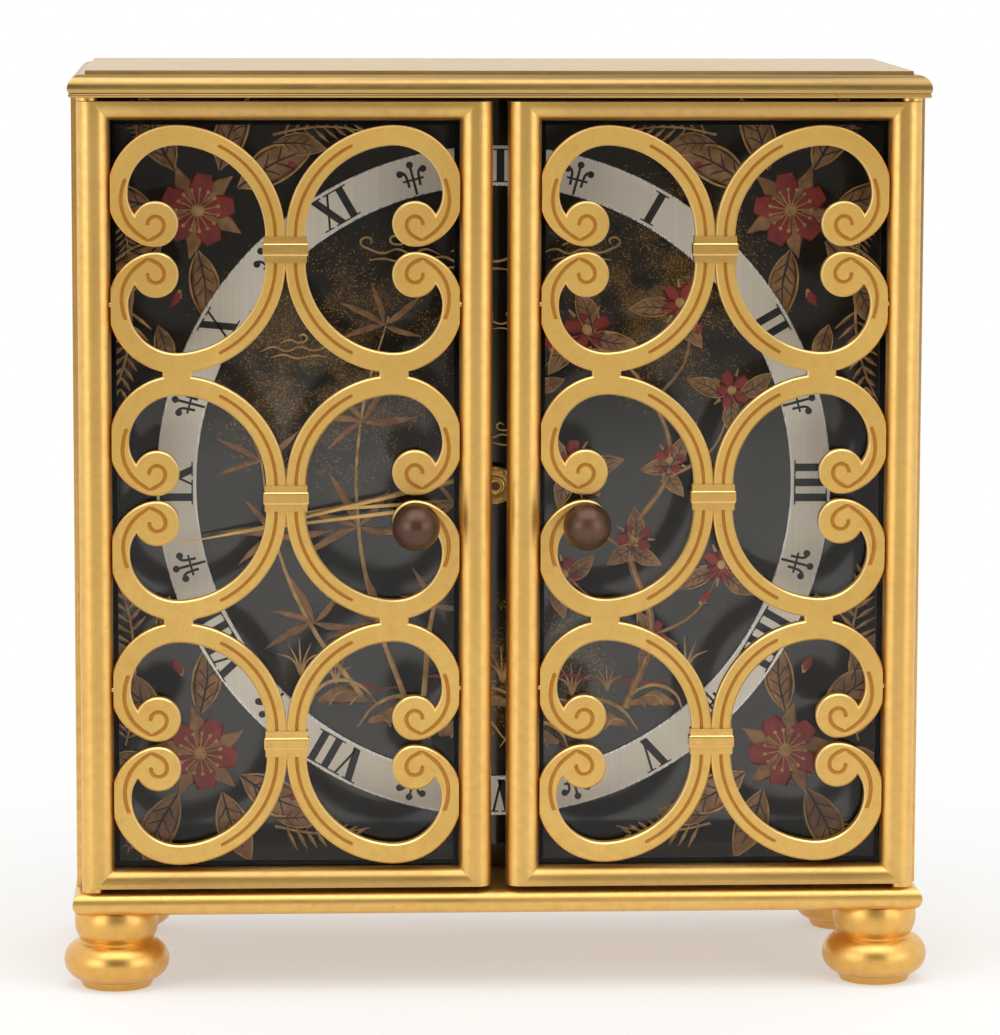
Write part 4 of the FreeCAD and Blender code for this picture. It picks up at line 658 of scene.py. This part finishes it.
cover = maths(lacquer, "MULTIPLY", cover, faces_front)
cells = add_node(lacquer, "ShaderNodeTexVoronoi",
                 {"Vector": where(lacquer), "Scale": grains_per_metre}).outputs
chance = parts_of(lacquer, cells["Color"])[0]
density = maths(lacquer, "MULTIPLY", cover, densest)
powder = maths(lacquer, "MULTIPLY", maths(lacquer, "LESS_THAN", cells["Distance"], grain_radius),
               maths(lacquer, "LESS_THAN", chance, density))
colour = tint(lacquer, density, (0.006, 0.005, 0.0035), (0.13, 0.075, 0.024))
colour = tint(lacquer, powder, colour, (0.40, 0.225, 0.07))
plug(lacquer, colour, shader.inputs["Base Color"])
plug(lacquer, span(lacquer, waves, 0.3, 0.7, 0.07, 0.16), shader.inputs["Roughness"])
relief(lacquer, shader, waves, 0.06, 0.05 * mm)
dress(lacquer, "dial_plate")

# %% [markdown]
# ## Hands and hidden metal
# The hands are bright gilt. Behind the dial are brass plates and wheels with a plain brushed finish
# and polished steel screws, arbors and springs. The centre arbor's end shows in front of the hands,
# so it is browned steel and doesn't glint there.

# %% Hands and movement finishes
dress(satin_gilt("gilt_hands", brushed_along("x"), rough=(0.24, 0.36)), "hour_hand", "minute_hand")
dress(satin_gilt("movement_brass", brushed_along("z"), rough=(0.24, 0.38)),
      "movement_front_plate", "movement_back_plate", "movement_pillars", "dial_posts",
      "balance_cock", "barrel", "centre_wheel", "third_wheel", "fourth_wheel", "minute_wheel",
      "hour_wheel", "balance_wheel")

steel, shader = metal("polished_steel", (0.55, 0.56, 0.58), 1.0, 0.25)
wander(steel, shader, grain(steel, 900, 4.0), ((0.50, 0.51, 0.53), (0.60, 0.61, 0.62)),
       (0.18, 0.32))
browned, shader = metal("browned_steel", (0.16, 0.12, 0.08), 1.0, 0.4)
wander(browned, shader, grain(browned, 900, 4.0), ((0.12, 0.085, 0.05), (0.22, 0.16, 0.10)),
       (0.34, 0.5))
dress(browned, "centre_arbor")
dress(steel, "rear_screws", "tie_rods", "base_screws", "dial_screws", "movement_screws",
      "barrel_arbor", "ratchet_wheel", "click", "click_spring", "mainspring",
      "hairspring", "cannon_pinion", "pallet_lever", "escape_wheel")

# %% [markdown]
# ## Numerals
# The numerals are black Roman figures with their feet towards the middle of the dial. Type from a
# font would not have these long thin serifs, so each figure is built from bars: a plane is set to
# the stroke's width, its head is slid sideways for a slanted stroke, and all bars are raised
# together by an extrusion, as thick paint stands on the metal.

# %% Bars of a figure
paint_height = 0.06 * mm
figure_margin = 0.75 * mm
figure_height = ring_outer - ring_inner - 2 * figure_margin
thick_stroke = 1.75 * mm
thin_stroke = 0.55 * mm
serif_height = 0.32 * mm
wide_serif, narrow_serif = 3.3 * mm, 2.3 * mm
pace = {"I": 3.45 * mm, "V": 5.6 * mm, "X": 5.8 * mm}
slant = 1.75 * mm


def flat_bar(middle, foot, width, low, high, head=None):
    """A flat bar in the open mesh, from foot at the bottom to head at the top."""
    place = (middle + foot, (low + high) / 2, 0)
    bpy.ops.mesh.primitive_plane_add(size=1, location=place)
    bpy.ops.transform.resize(value=(width, high - low, 1), center_override=place)
    if head is not None and head != foot:
        select_points(lambda v: v.select and v.co.y > place[1])
        bpy.ops.transform.translate(value=(head - foot, 0, 0))


def figure(letters):
    """One numeral, its feet on y = 0 and its middle on x = 0."""
    bpy.ops.object.select_all(action="DESELECT")
    bpy.ops.mesh.primitive_plane_add(size=thin_stroke)
    piece = bpy.context.object
    bpy.ops.object.mode_set(mode="EDIT")
    bpy.ops.mesh.delete(type="VERT")
    at = -sum(pace[letter] for letter in letters) / 2
    for letter in letters:
        middle = at + pace[letter] / 2
        at += pace[letter]
        ends = {"I": [(0, 1), (0, 0)], "V": [(-slant, 1), (slant, 1)],
                "X": [(-slant, 1), (slant, 1), (-slant, 0), (slant, 0)]}[letter]
        if letter == "I":
            flat_bar(middle, 0, thick_stroke, 0, figure_height)
        else:
            foot = 0 if letter == "V" else slant
            flat_bar(middle, foot, thick_stroke, 0, figure_height, -slant)
            flat_bar(middle, -foot, thin_stroke, 0, figure_height, slant)
        for across, top in ends:
            low = figure_height - serif_height if top else 0
            heavy = letter == "I" or (across < 0) == bool(top)
            flat_bar(middle, across, wide_serif if heavy else narrow_serif, low, low + serif_height)
    bpy.ops.mesh.select_all(action="SELECT")
    bpy.ops.mesh.extrude_region_move(TRANSFORM_OT_translate={"value": (0, 0, paint_height)})
    bpy.ops.mesh.select_all(action="SELECT")
    bpy.ops.mesh.normals_make_consistent(inside=False)
    bpy.ops.object.mode_set(mode="OBJECT")
    return piece


def set_on_ring(piece, hour, radius):
    """Turns a flat piece so that its y points outwards at this hour and its feet are on radius."""
    turn = hour * math.pi / 6
    sideways, outwards = (math.cos(turn), 0, -math.sin(turn)), (math.sin(turn), 0, math.cos(turn))
    middle = Vector((dial_centre.x, ring_face, dial_centre.z)) + Vector(outwards) * radius
    grid = Matrix((sideways, outwards, (0, -1, 0))).transposed().to_4x4()
    piece.matrix_world = Matrix.Translation(middle) @ grid
    bpy.ops.object.select_all(action="DESELECT")
    piece.select_set(True)
    bpy.context.view_layer.objects.active = piece
    settle()


def join(pieces, name):
    """Joins pieces into one object with this name."""
    bpy.ops.object.select_all(action="DESELECT")
    for piece in pieces:
        piece.select_set(True)
    bpy.context.view_layer.objects.active = pieces[0]
    if len(pieces) > 1:
        bpy.ops.object.join()
    whole = bpy.context.object
    whole.name = whole.data.name = name
    return whole


# %% Figures round the ring
figures = ["I", "II", "III", "IIII", "V", "VI", "VII", "VIII", "IX", "X", "XI", "XII"]
made = []
for hour, letters in enumerate(figures, 1):
    piece = figure(letters)
    set_on_ring(piece, hour, ring_inner + figure_margin)
    made.append(piece)
numerals = join(made, "numerals")

black_paint, shader = metal("black_paint", (0.012, 0.011, 0.010), 0.0, 0.38)
wander(black_paint, shader, grain(black_paint, 700, 3.0),
       ((0.008, 0.0075, 0.007), (0.024, 0.022, 0.019)), (0.3, 0.5), at=(0.4, 0.75))
numerals.data.materials.append(black_paint)
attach(numerals, "case")
print(len(made), "numerals,", len(numerals.data.polygons), "faces")

# %% [markdown]
# ## Half-hour marks
# Between the numerals stand small three-branched marks with ball ends. Their arms are curved lines
# of even thickness, which a bevelled Bezier curve gives at once. It is made a mesh, flattened, and
# the finished mark is copied round the ring.


# %% Painted lines
def brush_stroke(points, widths, height, level=0.0, sides=2, steps=6):
    """A raised line of paint through points, as wide at each as widths says, in mm."""
    bpy.ops.object.select_all(action="DESELECT")
    bpy.ops.curve.primitive_bezier_curve_add()
    stroke = bpy.context.object
    line = stroke.data.splines[0]
    line.bezier_points.add(len(points) - 2)
    for knot, (x, y), width in zip(line.bezier_points, points, widths):
        knot.co = (x, y, 0)
        knot.radius = width / 2
        knot.handle_left_type = knot.handle_right_type = "AUTO"
    stroke.data.bevel_depth = 1.0
    stroke.data.bevel_resolution = sides
    stroke.data.resolution_u = steps
    stroke.data.use_fill_caps = True
    bpy.ops.object.convert(target="MESH")
    stroke = bpy.context.object
    stroke.scale = (mm, mm, mm * height / (max(widths) / 2))
    stroke.location.z = level * mm
    settle()
    return stroke


def dot(x, y, radius, height, level=0.0):
    """A round drop of paint, in mm: a ball pressed flat."""
    bpy.ops.object.select_all(action="DESELECT")
    bpy.ops.mesh.primitive_uv_sphere_add(segments=16, ring_count=8, radius=radius * mm,
                                         location=(x * mm, y * mm, level * mm))
    drop = bpy.context.object
    drop.scale.z = height / radius
    settle()
    return drop


def copy_of(piece):
    """A copy with its own mesh."""
    copy = piece.copy()
    copy.data = piece.data.copy()
    bpy.context.scene.collection.objects.link(copy)
    return copy


# %% One mark, copied round the ring
line_width, bar_width = 0.6, 0.5
ball_radius = 0.8
mark_gap = 0.25 * mm
paint_line = paint_height / mm
mark_arm = [(1.26, 1.96), (1.35, 3.5), (1.6, 5.0), (2.2, 5.6), (2.7, 5.4)]
mark_parts = [brush_stroke([(0, 0), (0, 6.8)], [line_width] * 2, paint_line),
              brush_stroke([(-2.4, 3.5), (2.4, 3.5)], [bar_width] * 2, paint_line),
              dot(0, 6.9, ball_radius, paint_line)]
for side in (-1, 1):
    arm = [(side * x, y) for x, y in mark_arm]
    mark_parts.append(brush_stroke(arm, [line_width] * len(arm), paint_line))
    mark_parts.append(dot(*arm[-1], ball_radius, paint_line))
pattern = join(mark_parts, "half_hour_mark")
made = []
for hour in range(12):
    mark = copy_of(pattern)
    set_on_ring(mark, hour + 0.5, ring_inner + mark_gap)
    made.append(mark)
bpy.data.objects.remove(pattern)
marks = join(made, "half_hour_marks")
marks.data.materials.append(black_paint)
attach(marks, "case")
print(len(made), "half-hour marks,", len(marks.data.polygons), "faces")

# %% [markdown]
# ## Painted garden
# The dial is painted in gold, bronze and red on the black lacquer, as old lacquer boxes are: sprays
# of leaves with a large blossom in the corners, and a garden with bamboo, a flowering branch,
# grass, stones and clouds inside the ring. A drawn texture would lie flat, but such paint stands up
# and catches light along its edges. So every motif is modelled once from brush strokes, pressed
# flat, and copied about the dial. A motif is a dictionary with one mesh for each paint.

# %% Motifs: leaves and fronds
thin, thick = 0.05, 0.11


def turned(points, degrees):
    """Points turned about the origin."""
    c, s = math.cos(math.radians(degrees)), math.sin(math.radians(degrees))
    return [(c * x - s * y, s * x + c * y) for x, y in points]


def motif(name, **paints):
    """Joins the strokes of each paint."""
    return {paint: join(strokes, name + "_" + paint) for paint, strokes in paints.items()}


leaf_line = [(0, 0), (0.5, 4), (0.8, 8), (0.4, 12), (0, 15)]
leaf_edges = [[(0, 0), (-1.9, 3.6), (-2.4, 8), (-1.5, 12), (0, 15.2)],
              [(0, 0), (2.7, 3.6), (3.7, 8), (2.1, 12), (0, 15.2)]]
leaf_ribs = [[(0.5, y), (0.6 + side * 1.2, y + 1.3), (0.6 + side * 2.2, y + 2.1)]
             for y in (3, 5.5, 8) for side in (-1, 1)]
leaf = motif(
    "leaf",
    bronze=[brush_stroke(leaf_line, [0.6, 4.6, 6.2, 3.8, 0.3], thick)],
    gold=[brush_stroke(edge, [0.2, 0.4, 0.45, 0.4, 0.2], thin, 0.03) for edge in leaf_edges],
    dark=[brush_stroke(leaf_line[:4], [0.3, 0.5, 0.4, 0.2], thin, 0.09)]
    + [brush_stroke(rib, [0.3, 0.3, 0.15], thin, 0.08, 1, 3) for rib in leaf_ribs])

blade = motif("blade", bronze=[brush_stroke([(0, 0), (0.5, 4), (0.4, 9), (0, 14)],
                                            [0.3, 2.1, 1.8, 0.15], thick, steps=5)])

frond_stem = [(0, 0), (0.8, 8), (0.2, 16), (-2, 24)]
leaflets = []
for i in range(8):
    y, length = 3 + 2.5 * i, 6.2 - 0.45 * i
    for side in (-1, 1):
        tip = turned([(0, 0.5 * length), (0, length)], side * (-58 + 3 * i))
        leaflets.append(brush_stroke([(0.3, y)] + [(0.3 + a, y + b) for a, b in tip],
                                     [0.25, 1.1, 0.2], thin, 0, 0, 2))
frond = motif("frond", gold=[brush_stroke(frond_stem, [0.7, 0.6, 0.5, 0.2], thin)] + leaflets)
print("leaf, blade and frond modelled")

# %% Motifs: blossoms
petal, sepal = [(0, 1.0), (0, 4.2), (0, 7.2)], [(0, 2), (0.3, 6), (0, 9.6)]
blossom = motif(
    "blossom",
    bronze=[brush_stroke(turned(sepal, 36 + 72 * i), [2.6, 3.4, 0.3], 0.05) for i in range(5)],
    red=[brush_stroke(turned(petal, 72 * i), [2.0, 5.6, 3.4], thick) for i in range(5)],
    gold=[brush_stroke(turned([(0, 1.2), (0.2, 3.8)], 24 * i), [0.3, 0.25], thin, 0.12, 1, 2)
          for i in range(15)]
    + [dot(*turned([(0.2, 4.1)], 24 * i)[0], 0.38, thin, 0.12) for i in range(15)]
    + [dot(0, 0, 1.3, 0.16)])

small_petal = [(0, 0.5), (0, 1.7), (0, 2.9)]
small_bloom = motif(
    "small_bloom",
    red=[brush_stroke(turned(small_petal, 72 * i), [0.8, 2.2, 1.4], thick, 0, 1, 3)
         for i in range(5)],
    gold=[dot(0, 0, 0.7, 0.14)]
    + [brush_stroke(turned([(0, 2.2), (0, 3.4)], 36 + 72 * i), [0.5, 0.2], thin, 0, 1, 2)
       for i in range(5)])
bud = motif("bud", red=[brush_stroke([(0, 0.6), (0.1, 2), (0, 3.6)], [1.0, 1.9, 0.3], thick)],
            gold=[brush_stroke(turned([(0, 0), (0.3, 1.6)], side * 28), [0.5, 0.2], thin)
                  for side in (-1, 1)])
print("blossoms and bud modelled")

# %% Motifs: ground and sky
grass = motif("grass", gold=[
    brush_stroke([(0, 0), (lean * 0.35, 4), (lean, high)], [0.7, 0.6, 0.15], thin, 0, 1, 4)
    for lean, high in ((-6, 5.5), (-3.2, 8), (-0.4, 9.4), (2.6, 8.2), (5.6, 5.8))])
cloud_lines = [[(-12, 0), (-8, 1.5), (-4, 0.2), (0, 1.5), (4, 0.4), (8, 1.6), (10.4, 3.4), (9, 4.8),
                (7.4, 4.1), (7.8, 2.9)],
               [(-9, -1.8), (-5, -0.9), (-1, -2), (4, -1.2), (8, -1.6)],
               [(-6, 2.6), (-3, 3.6), (-0.4, 2.8), (2, 3.8), (1.2, 5.2), (-0.4, 4.6)]]
cloud = motif("cloud", gold=[brush_stroke(line, [0.25] + [0.6] * (len(line) - 2) + [0.25], thin)
                             for line in cloud_lines])
stone = motif(
    "stone",
    bronze=[brush_stroke([(-6, 1), (-1, 2.4), (5.5, 1)], [1.0, 4.6, 0.8], 0.06)],
    gold=[brush_stroke([(-8, 0), (-6.2, 3.6), (-1.4, 5.8), (4, 4.2), (7.6, 0)],
                       [0.4, 0.8, 0.9, 0.7, 0.3], thin, 0.04),
          brush_stroke([(-3.4, 0.2), (-1.6, 2.8), (1.6, 3.2)], [0.3, 0.5, 0.2], thin, 0.05),
          brush_stroke([(1.2, 0), (3, 2), (5, 1.6)], [0.3, 0.4, 0.2], thin, 0.05)])
ripple = motif("ripple", red=[brush_stroke([(-9, 0), (-4, 0.8), (1, -0.3), (8, 0.5)],
                                           [0.2, 0.9, 0.8, 0.2], thin)])
print("grass, cloud, stone and ripple modelled")

# %% [markdown]
# ## Planting the garden
# A copy gets its own mesh and is set on the dial by one matrix: x runs to the right, y runs up and
# z comes out of the lacquer. Mirrored copies turn their faces inside out, so those are flipped
# back. A motif that has been planted for the last time is taken away.

# %% Planting
dial_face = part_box("dial_plate")[0].y
dial_grid = Matrix.Translation((dial_centre.x, dial_face, dial_centre.z)) @ Matrix(
    ((1, 0, 0), (0, 0, -1), (0, 1, 0))).to_4x4()
garden = {"gold": [], "bronze": [], "red": [], "dark": []}


def plant(pieces, x, y, degrees=0.0, size=1.0, flip=1):
    """Copies a motif to x, y on the dial, in mm from its middle, turned and mirrored."""
    place = Matrix.Translation((x * mm, y * mm, 0)) @ Matrix.Rotation(math.radians(degrees), 4, "Z")
    place = dial_grid @ place @ Matrix.Diagonal((size * flip, size, 1, 1))
    for paint, piece in pieces.items():
        copy = copy_of(piece)
        copy.data.transform(place)
        if flip < 0:
            copy.data.flip_normals()
        garden[paint].append(copy)


def clear_away(*motifs):
    """Removes motifs, but not their copies on the dial."""
    for pieces in motifs:
        for piece in pieces.values():
            bpy.data.objects.remove(piece)


# %% Corner sprays
spray = [(leaf, 58, 67, 62, 1.3), (leaf, 62, 71, 22, 1.15), (leaf, 72, 71, -24, 1.25),
         (leaf, 77, 63, -72, 1.0), (leaf, 75, 55, -128, 1.3), (leaf, 67, 53, 174, 1.05),
         (leaf, 50, 77, 96, 0.8), (leaf, 82, 46, -150, 0.85), (leaf, 76, 36, 168, 0.7),
         (blossom, 67, 62, 10, 1.15), (frond, 50, 79, 84, 0.9), (frond, 82, 42, -172, 1.0),
         (frond, 76, 76, -45, 0.5), (frond, 84, 60, 172, 0.55), (bud, 48, 71, 60, 1.2),
         (bud, 71, 44, -150, 1.2)]
for right in (-1, 1):
    for up in (-1, 1):
        for piece, x, y, degrees, size in spray:
            towards = degrees * right if up > 0 else 180 - degrees * right
            plant(piece, x * right, y * up, towards, size, right * up)
print(4 * len(spray), "pieces in the corner sprays")

# %% Bamboo
canes = [[(-20, -50), (-27, -30), (-31, -8), (-30, 16), (-24, 38)],
         [(-30, -49), (-42, -32), (-50, -12), (-53, 6)],
         [(-16, -49), (-14, -30), (-9, -14), (-9, -4)]]
for cane in canes:
    widths = [1.3 - 0.9 * i / (len(cane) - 1) for i in range(len(cane))]
    painted = motif("cane", gold=[brush_stroke(cane, widths, thin)])
    plant(painted, 0, 0)
    clear_away(painted)
tufts = [(-26, -32, 1.0), (-31, -10, 1.0), (-30, 14, 0.9), (-25, 36, 0.8), (-41, -32, 0.9),
         (-50, -12, 0.95), (-53, 5, 0.8), (-14, -28, 0.7), (-9, -5, 0.65)]
for i, (x, y, size) in enumerate(tufts):
    for degrees in (118, 74, 28, -40, -96):
        plant(blade, x, y, degrees + 11 * (i % 3 - 1), size * (0.8 + 0.1 * ((i + degrees) % 3)))
print(len(canes), "canes with", 5 * len(tufts), "blades")

# %% Flowering branch
branch = [([(30, -52), (36, -34), (31, -14), (40, 4), (34, 22), (22, 34)], 2.2),
          ([(32, -18), (22, -8), (18, 4)], 1.0), ([(38, 0), (50, 8), (54, 20)], 1.0),
          ([(36, 18), (44, 30), (42, 40)], 0.9), ([(35, -36), (46, -30), (52, -20)], 1.0),
          ([(27, 30), (16, 30), (9, 24)], 0.7), ([(34, -26), (24, -27), (17, -22)], 0.7)]
for line, width in branch:
    widths = [width * (1 - 0.75 * i / (len(line) - 1)) for i in range(len(line))]
    painted = motif("twig", bronze=[brush_stroke(line, widths, 0.08)],
                    gold=[brush_stroke(line, [0.25 * w for w in widths], thin, 0.06)])
    plant(painted, 0, 0)
    clear_away(painted)
blooms = [(18, 5, 1.6), (54, 21, 1.5), (42, 41, 1.6), (52, -19, 1.5), (21, 35, 1.8), (8, 23, 1.3),
          (16, -21, 1.4), (40, 5, 1.3), (32, -13, 1.4), (36, -35, 1.2)]
for i, (x, y, size) in enumerate(blooms):
    plant(small_bloom, x, y, 20 * i, size)
    for k in range(3):
        plant(leaf, x + 1.5 * (k - 1), y - 1.5, 40 + 120 * k + 25 * i, 0.42 * size)
buds = [(24, -3, 60), (46, 12, 40), (45, 33, -30), (47, -28, -40), (13, 30, 30), (22, -27, 70)]
for x, y, degrees in buds:
    plant(bud, x, y, degrees, 1.1)
print(len(branch), "twigs with", len(blooms), "blossoms")

# %% Ground and sky
stones = [(-34, -51, 1.0, 1), (-22, -56, 1.2, -1), (-6, -59, 1.1, 1), (9, -61, 1.0, -1),
          (24, -57, 1.2, 1), (36, -52, 0.9, -1), (0, -52, 0.8, 1), (14, -54, 0.7, -1)]
tussocks = [(-44, -44, 0.9), (-36, -46, 0.7), (2, -46, 0.9), (-8, -51, 0.7), (44, -44, 0.9),
            (18, -49, 0.8), (26, -48, 0.6)]
ripples = [(-27, -47), (-10, -45), (8, -43), (20, -45), (-3, -41), (34, -46)]
clouds = [(-4, 50, 1.0, 1), (-22, 52, 0.8, -1), (20, 52, 0.8, 1), (2, 10, 0.7, -1),
          (-44, 30, 0.75, 1), (4, 36, 0.6, -1)]
for x, y, size, flip in stones:
    plant(stone, x, y, 0, size, flip)
for x, y, size in tussocks:
    plant(grass, x, y, 0, size)
for x, y in ripples:
    plant(ripple, x, y, 0, 0.8)
for x, y, size, flip in clouds:
    plant(cloud, x, y, 0, size, flip)
clear_away(leaf, blade, frond, blossom, small_bloom, bud, grass, cloud, stone, ripple)
print(len(stones), "stones,", len(tussocks), "tussocks,", len(ripples), "ripples,",
      len(clouds), "clouds")

# %% [markdown]
# ## Paints of the garden
# Gold paint is powder in varnish: half metal, half matt, and it thins out along a stroke. Bronze is
# the same with a browner powder, red is an opaque earth colour with a soft shine. One recipe makes
# all three, because only its two colours, its share of metal and its roughness differ.


# %% Paints
def powder_paint(name, dim, bright, metallic, roughness):
    """Paint whose colour wanders between dim and bright, as where the brush ran dry."""
    material, shader = metal(name, dim, metallic, roughness)
    dry = grain(material, 420, 5.0)
    specks = grain(material, 3000, 2.0)
    colour = tint(material, span(material, dry, 0.35, 0.65), dim, bright)
    colour = tint(material, span(material, specks, 0.5, 0.7, 0.0, 0.4), colour, dim)
    plug(material, colour, shader.inputs["Base Color"])
    plug(material, span(material, dry, 0.3, 0.7, roughness + 0.1, roughness - 0.06),
         shader.inputs["Roughness"])
    relief(material, shader, specks, 0.3, 0.02 * mm)
    return material


paints = {
    "gold": powder_paint("gold_paint", (0.40, 0.22, 0.08), (0.64, 0.41, 0.165), 0.5, 0.44),
    "bronze": powder_paint("bronze_paint", (0.24, 0.12, 0.05), (0.42, 0.225, 0.097), 0.4, 0.48),
    "red": powder_paint("red_paint", (0.22, 0.016, 0.012), (0.36, 0.032, 0.02), 0.0, 0.4),
    "dark": black_paint}
for paint, copies in garden.items():
    strokes = join(copies, "dial_ornament_" + paint)
    strokes.data.materials.clear()
    strokes.data.materials.append(paints[paint])
    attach(strokes, "case")
    print(strokes.name, len(strokes.data.polygons), "faces")

# %% [markdown]
# ## Hand rosette
# A small scalloped washer sits on the hub of the minute hand and hides the riveting. It starts as a
# circle; its edge is drawn out to a flat ring, every sixth point is pulled in for the scallops, and
# the ring is raised and its edges are softened.

# %% Rosette
scallops = 8
points_each = 6
rosette_inner, rosette_outer = 2.3 * mm, 4.1 * mm
rosette_height = 0.4 * mm
notch_reach = 0.88
edge_softness = 0.12 * mm
bead_circle, bead_radius, bead_height = 3.3, 0.42, 0.3
hand_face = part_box("minute_hand")[0].y


def at_notch(v):
    """True for a point of the rim between two scallops."""
    turn = math.degrees(math.atan2(v.co.y, v.co.x)) / (360 / scallops)
    return v.co.length > (rosette_inner + rosette_outer) / 2 and abs(turn - round(turn)) < 0.05


bpy.ops.object.select_all(action="DESELECT")
bpy.ops.mesh.primitive_circle_add(vertices=points_each * scallops, radius=rosette_inner,
                                  fill_type="NOTHING")
rosette = bpy.context.object
bpy.ops.object.mode_set(mode="EDIT")
bpy.ops.mesh.select_all(action="SELECT")
bpy.ops.mesh.extrude_edges_move()
widening = rosette_outer / rosette_inner
bpy.ops.transform.resize(value=(widening, widening, 1), center_override=(0, 0, 0))
select_points(at_notch)
bpy.ops.transform.resize(value=(notch_reach, notch_reach, 1), center_override=(0, 0, 0))
bpy.ops.mesh.select_all(action="SELECT")
bpy.ops.mesh.extrude_region_move(TRANSFORM_OT_translate={"value": (0, 0, rosette_height)})
bpy.ops.mesh.select_all(action="SELECT")
bpy.ops.mesh.normals_make_consistent(inside=False)
bpy.ops.object.mode_set(mode="OBJECT")
soften = rosette.modifiers.new("soft_edges", "BEVEL")
soften.width, soften.segments = edge_softness, 2
bpy.ops.object.modifier_apply(modifier="soft_edges")
beads = [dot(*turned([(0, bead_circle)], 360 * (i + 0.5) / scallops)[0], bead_radius, bead_height,
             rosette_height / mm) for i in range(scallops)]
rosette = join([rosette] + beads, "hand_rosette")
rosette.matrix_world = Matrix.Translation((0, hand_face - dial_face, 0)) @ dial_grid
settle()
bpy.ops.object.shade_smooth_by_angle(angle=math.radians(40))
rosette.data.materials.append(
    satin_gilt("gilt_rosette", turned_level("hand_nut"), rough=(0.28, 0.42)))
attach(rosette, "minute_hand_arbor")
print("rosette with", scallops, "scallops,", len(rosette.data.polygons), "faces")

# %% [markdown]
# ## Slotted screws
# The screws on the back and under the base are turned steel with a sawn slot. A cylinder is rounded
# along its top edge and a block is cut out of it. One screw is modelled for each size and copied to
# where the CAD has its screws; no two slots point the same way, as after real assembly.


# %% A slotted screw
head_rounding = 0.3
slot_width = 0.28


def rod(radius, low, high, sides):
    """An upright cylinder from low to high."""
    bpy.ops.object.select_all(action="DESELECT")
    bpy.ops.mesh.primitive_cylinder_add(vertices=sides, radius=radius, depth=high - low,
                                        location=(0, 0, (low + high) / 2))
    settle()
    return bpy.context.object


def slotted_screw(head_radius, head_height, shank_radius, shank_length):
    """Head upwards with its seat on z = 0, shank downwards."""
    head = rod(head_radius, 0, head_height, 48)
    bpy.ops.object.mode_set(mode="EDIT")
    select_points(lambda v: v.co.z > head_height / 2)
    bpy.ops.mesh.bevel(offset=head_rounding * head_height, segments=3, affect="EDGES")
    bpy.ops.object.mode_set(mode="OBJECT")
    bpy.ops.mesh.primitive_cube_add(size=1, location=(0, 0, head_height))
    saw = bpy.context.object
    saw.scale = (3 * head_radius, slot_width * head_radius, head_height)
    settle()
    bpy.context.view_layer.objects.active = head
    cut = head.modifiers.new("slot", "BOOLEAN")
    cut.operation, cut.object = "DIFFERENCE", saw
    bpy.ops.object.modifier_apply(modifier="slot")
    bpy.data.objects.remove(saw)
    return join([head, rod(shank_radius, -shank_length, 0, 24)], "slotted_screw")


# %% Where the screws sit
screw_reach = 7 * mm
slot_turn = 2.4


def screw_boxes(node, along):
    """The lowest and highest corner of each screw in a CAD node, whose axes run along one axis."""
    points = np.array([v.co for v in nodes[node].data.vertices])
    flat = np.delete(points, along, axis=1)
    found = []
    while len(flat):
        near = np.hypot(*(flat - flat[0]).T) < screw_reach
        group = points[near]
        found.append((group.min(axis=0), group.max(axis=0)))
        points, flat = points[~near], flat[~near]
    return found


def set_screws(pattern, node, along, seat_of):
    """Copies a screw to each place of a CAD node's screws and stands for that node."""
    made = []
    for i, (low, high) in enumerate(screw_boxes(node, along)):
        copy = copy_of(pattern)
        middle, outward = Vector((low + high) / 2), Vector((0, 0, 0))
        middle[along], outward[along] = seat_of(low, high)
        upright = outward.to_track_quat("Z", "Y").to_matrix().to_4x4()
        turn = Matrix.Rotation(slot_turn * i, 4, "Z")
        copy.data.transform(Matrix.Translation(middle) @ upright @ turn)
        made.append(copy)
    bpy.data.objects.remove(pattern)
    whole = join(made, node + "_slotted")
    bpy.ops.object.shade_smooth_by_angle(angle=math.radians(35))
    whole.data.materials.append(steel)
    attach(whole, "case")
    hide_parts(node)
    print(len(made), "slotted screws for", node)


# %% Screws of the back and the base
rear_head, base_head = 0.9 * mm, 1.4 * mm
base_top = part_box("base_plate")[1].z


def rear_seat(low, high):
    """Where a rear screw's head sits and which way it points: out of the back."""
    return high[1] - rear_head, 1


def base_seat(low, high):
    """The same in the base: the head is on top, or below where the screw reaches up into a side."""
    if high[2] < base_top + 1 * mm:
        return high[2] - base_head, 1
    return low[2] + base_head, -1


set_screws(slotted_screw(2.0 * mm, rear_head, 1.0 * mm, 2.0 * mm), "rear_screws", 1, rear_seat)
set_screws(slotted_screw(2.9 * mm, base_head, 1.5 * mm, 9.0 * mm), "base_screws", 2, base_seat)
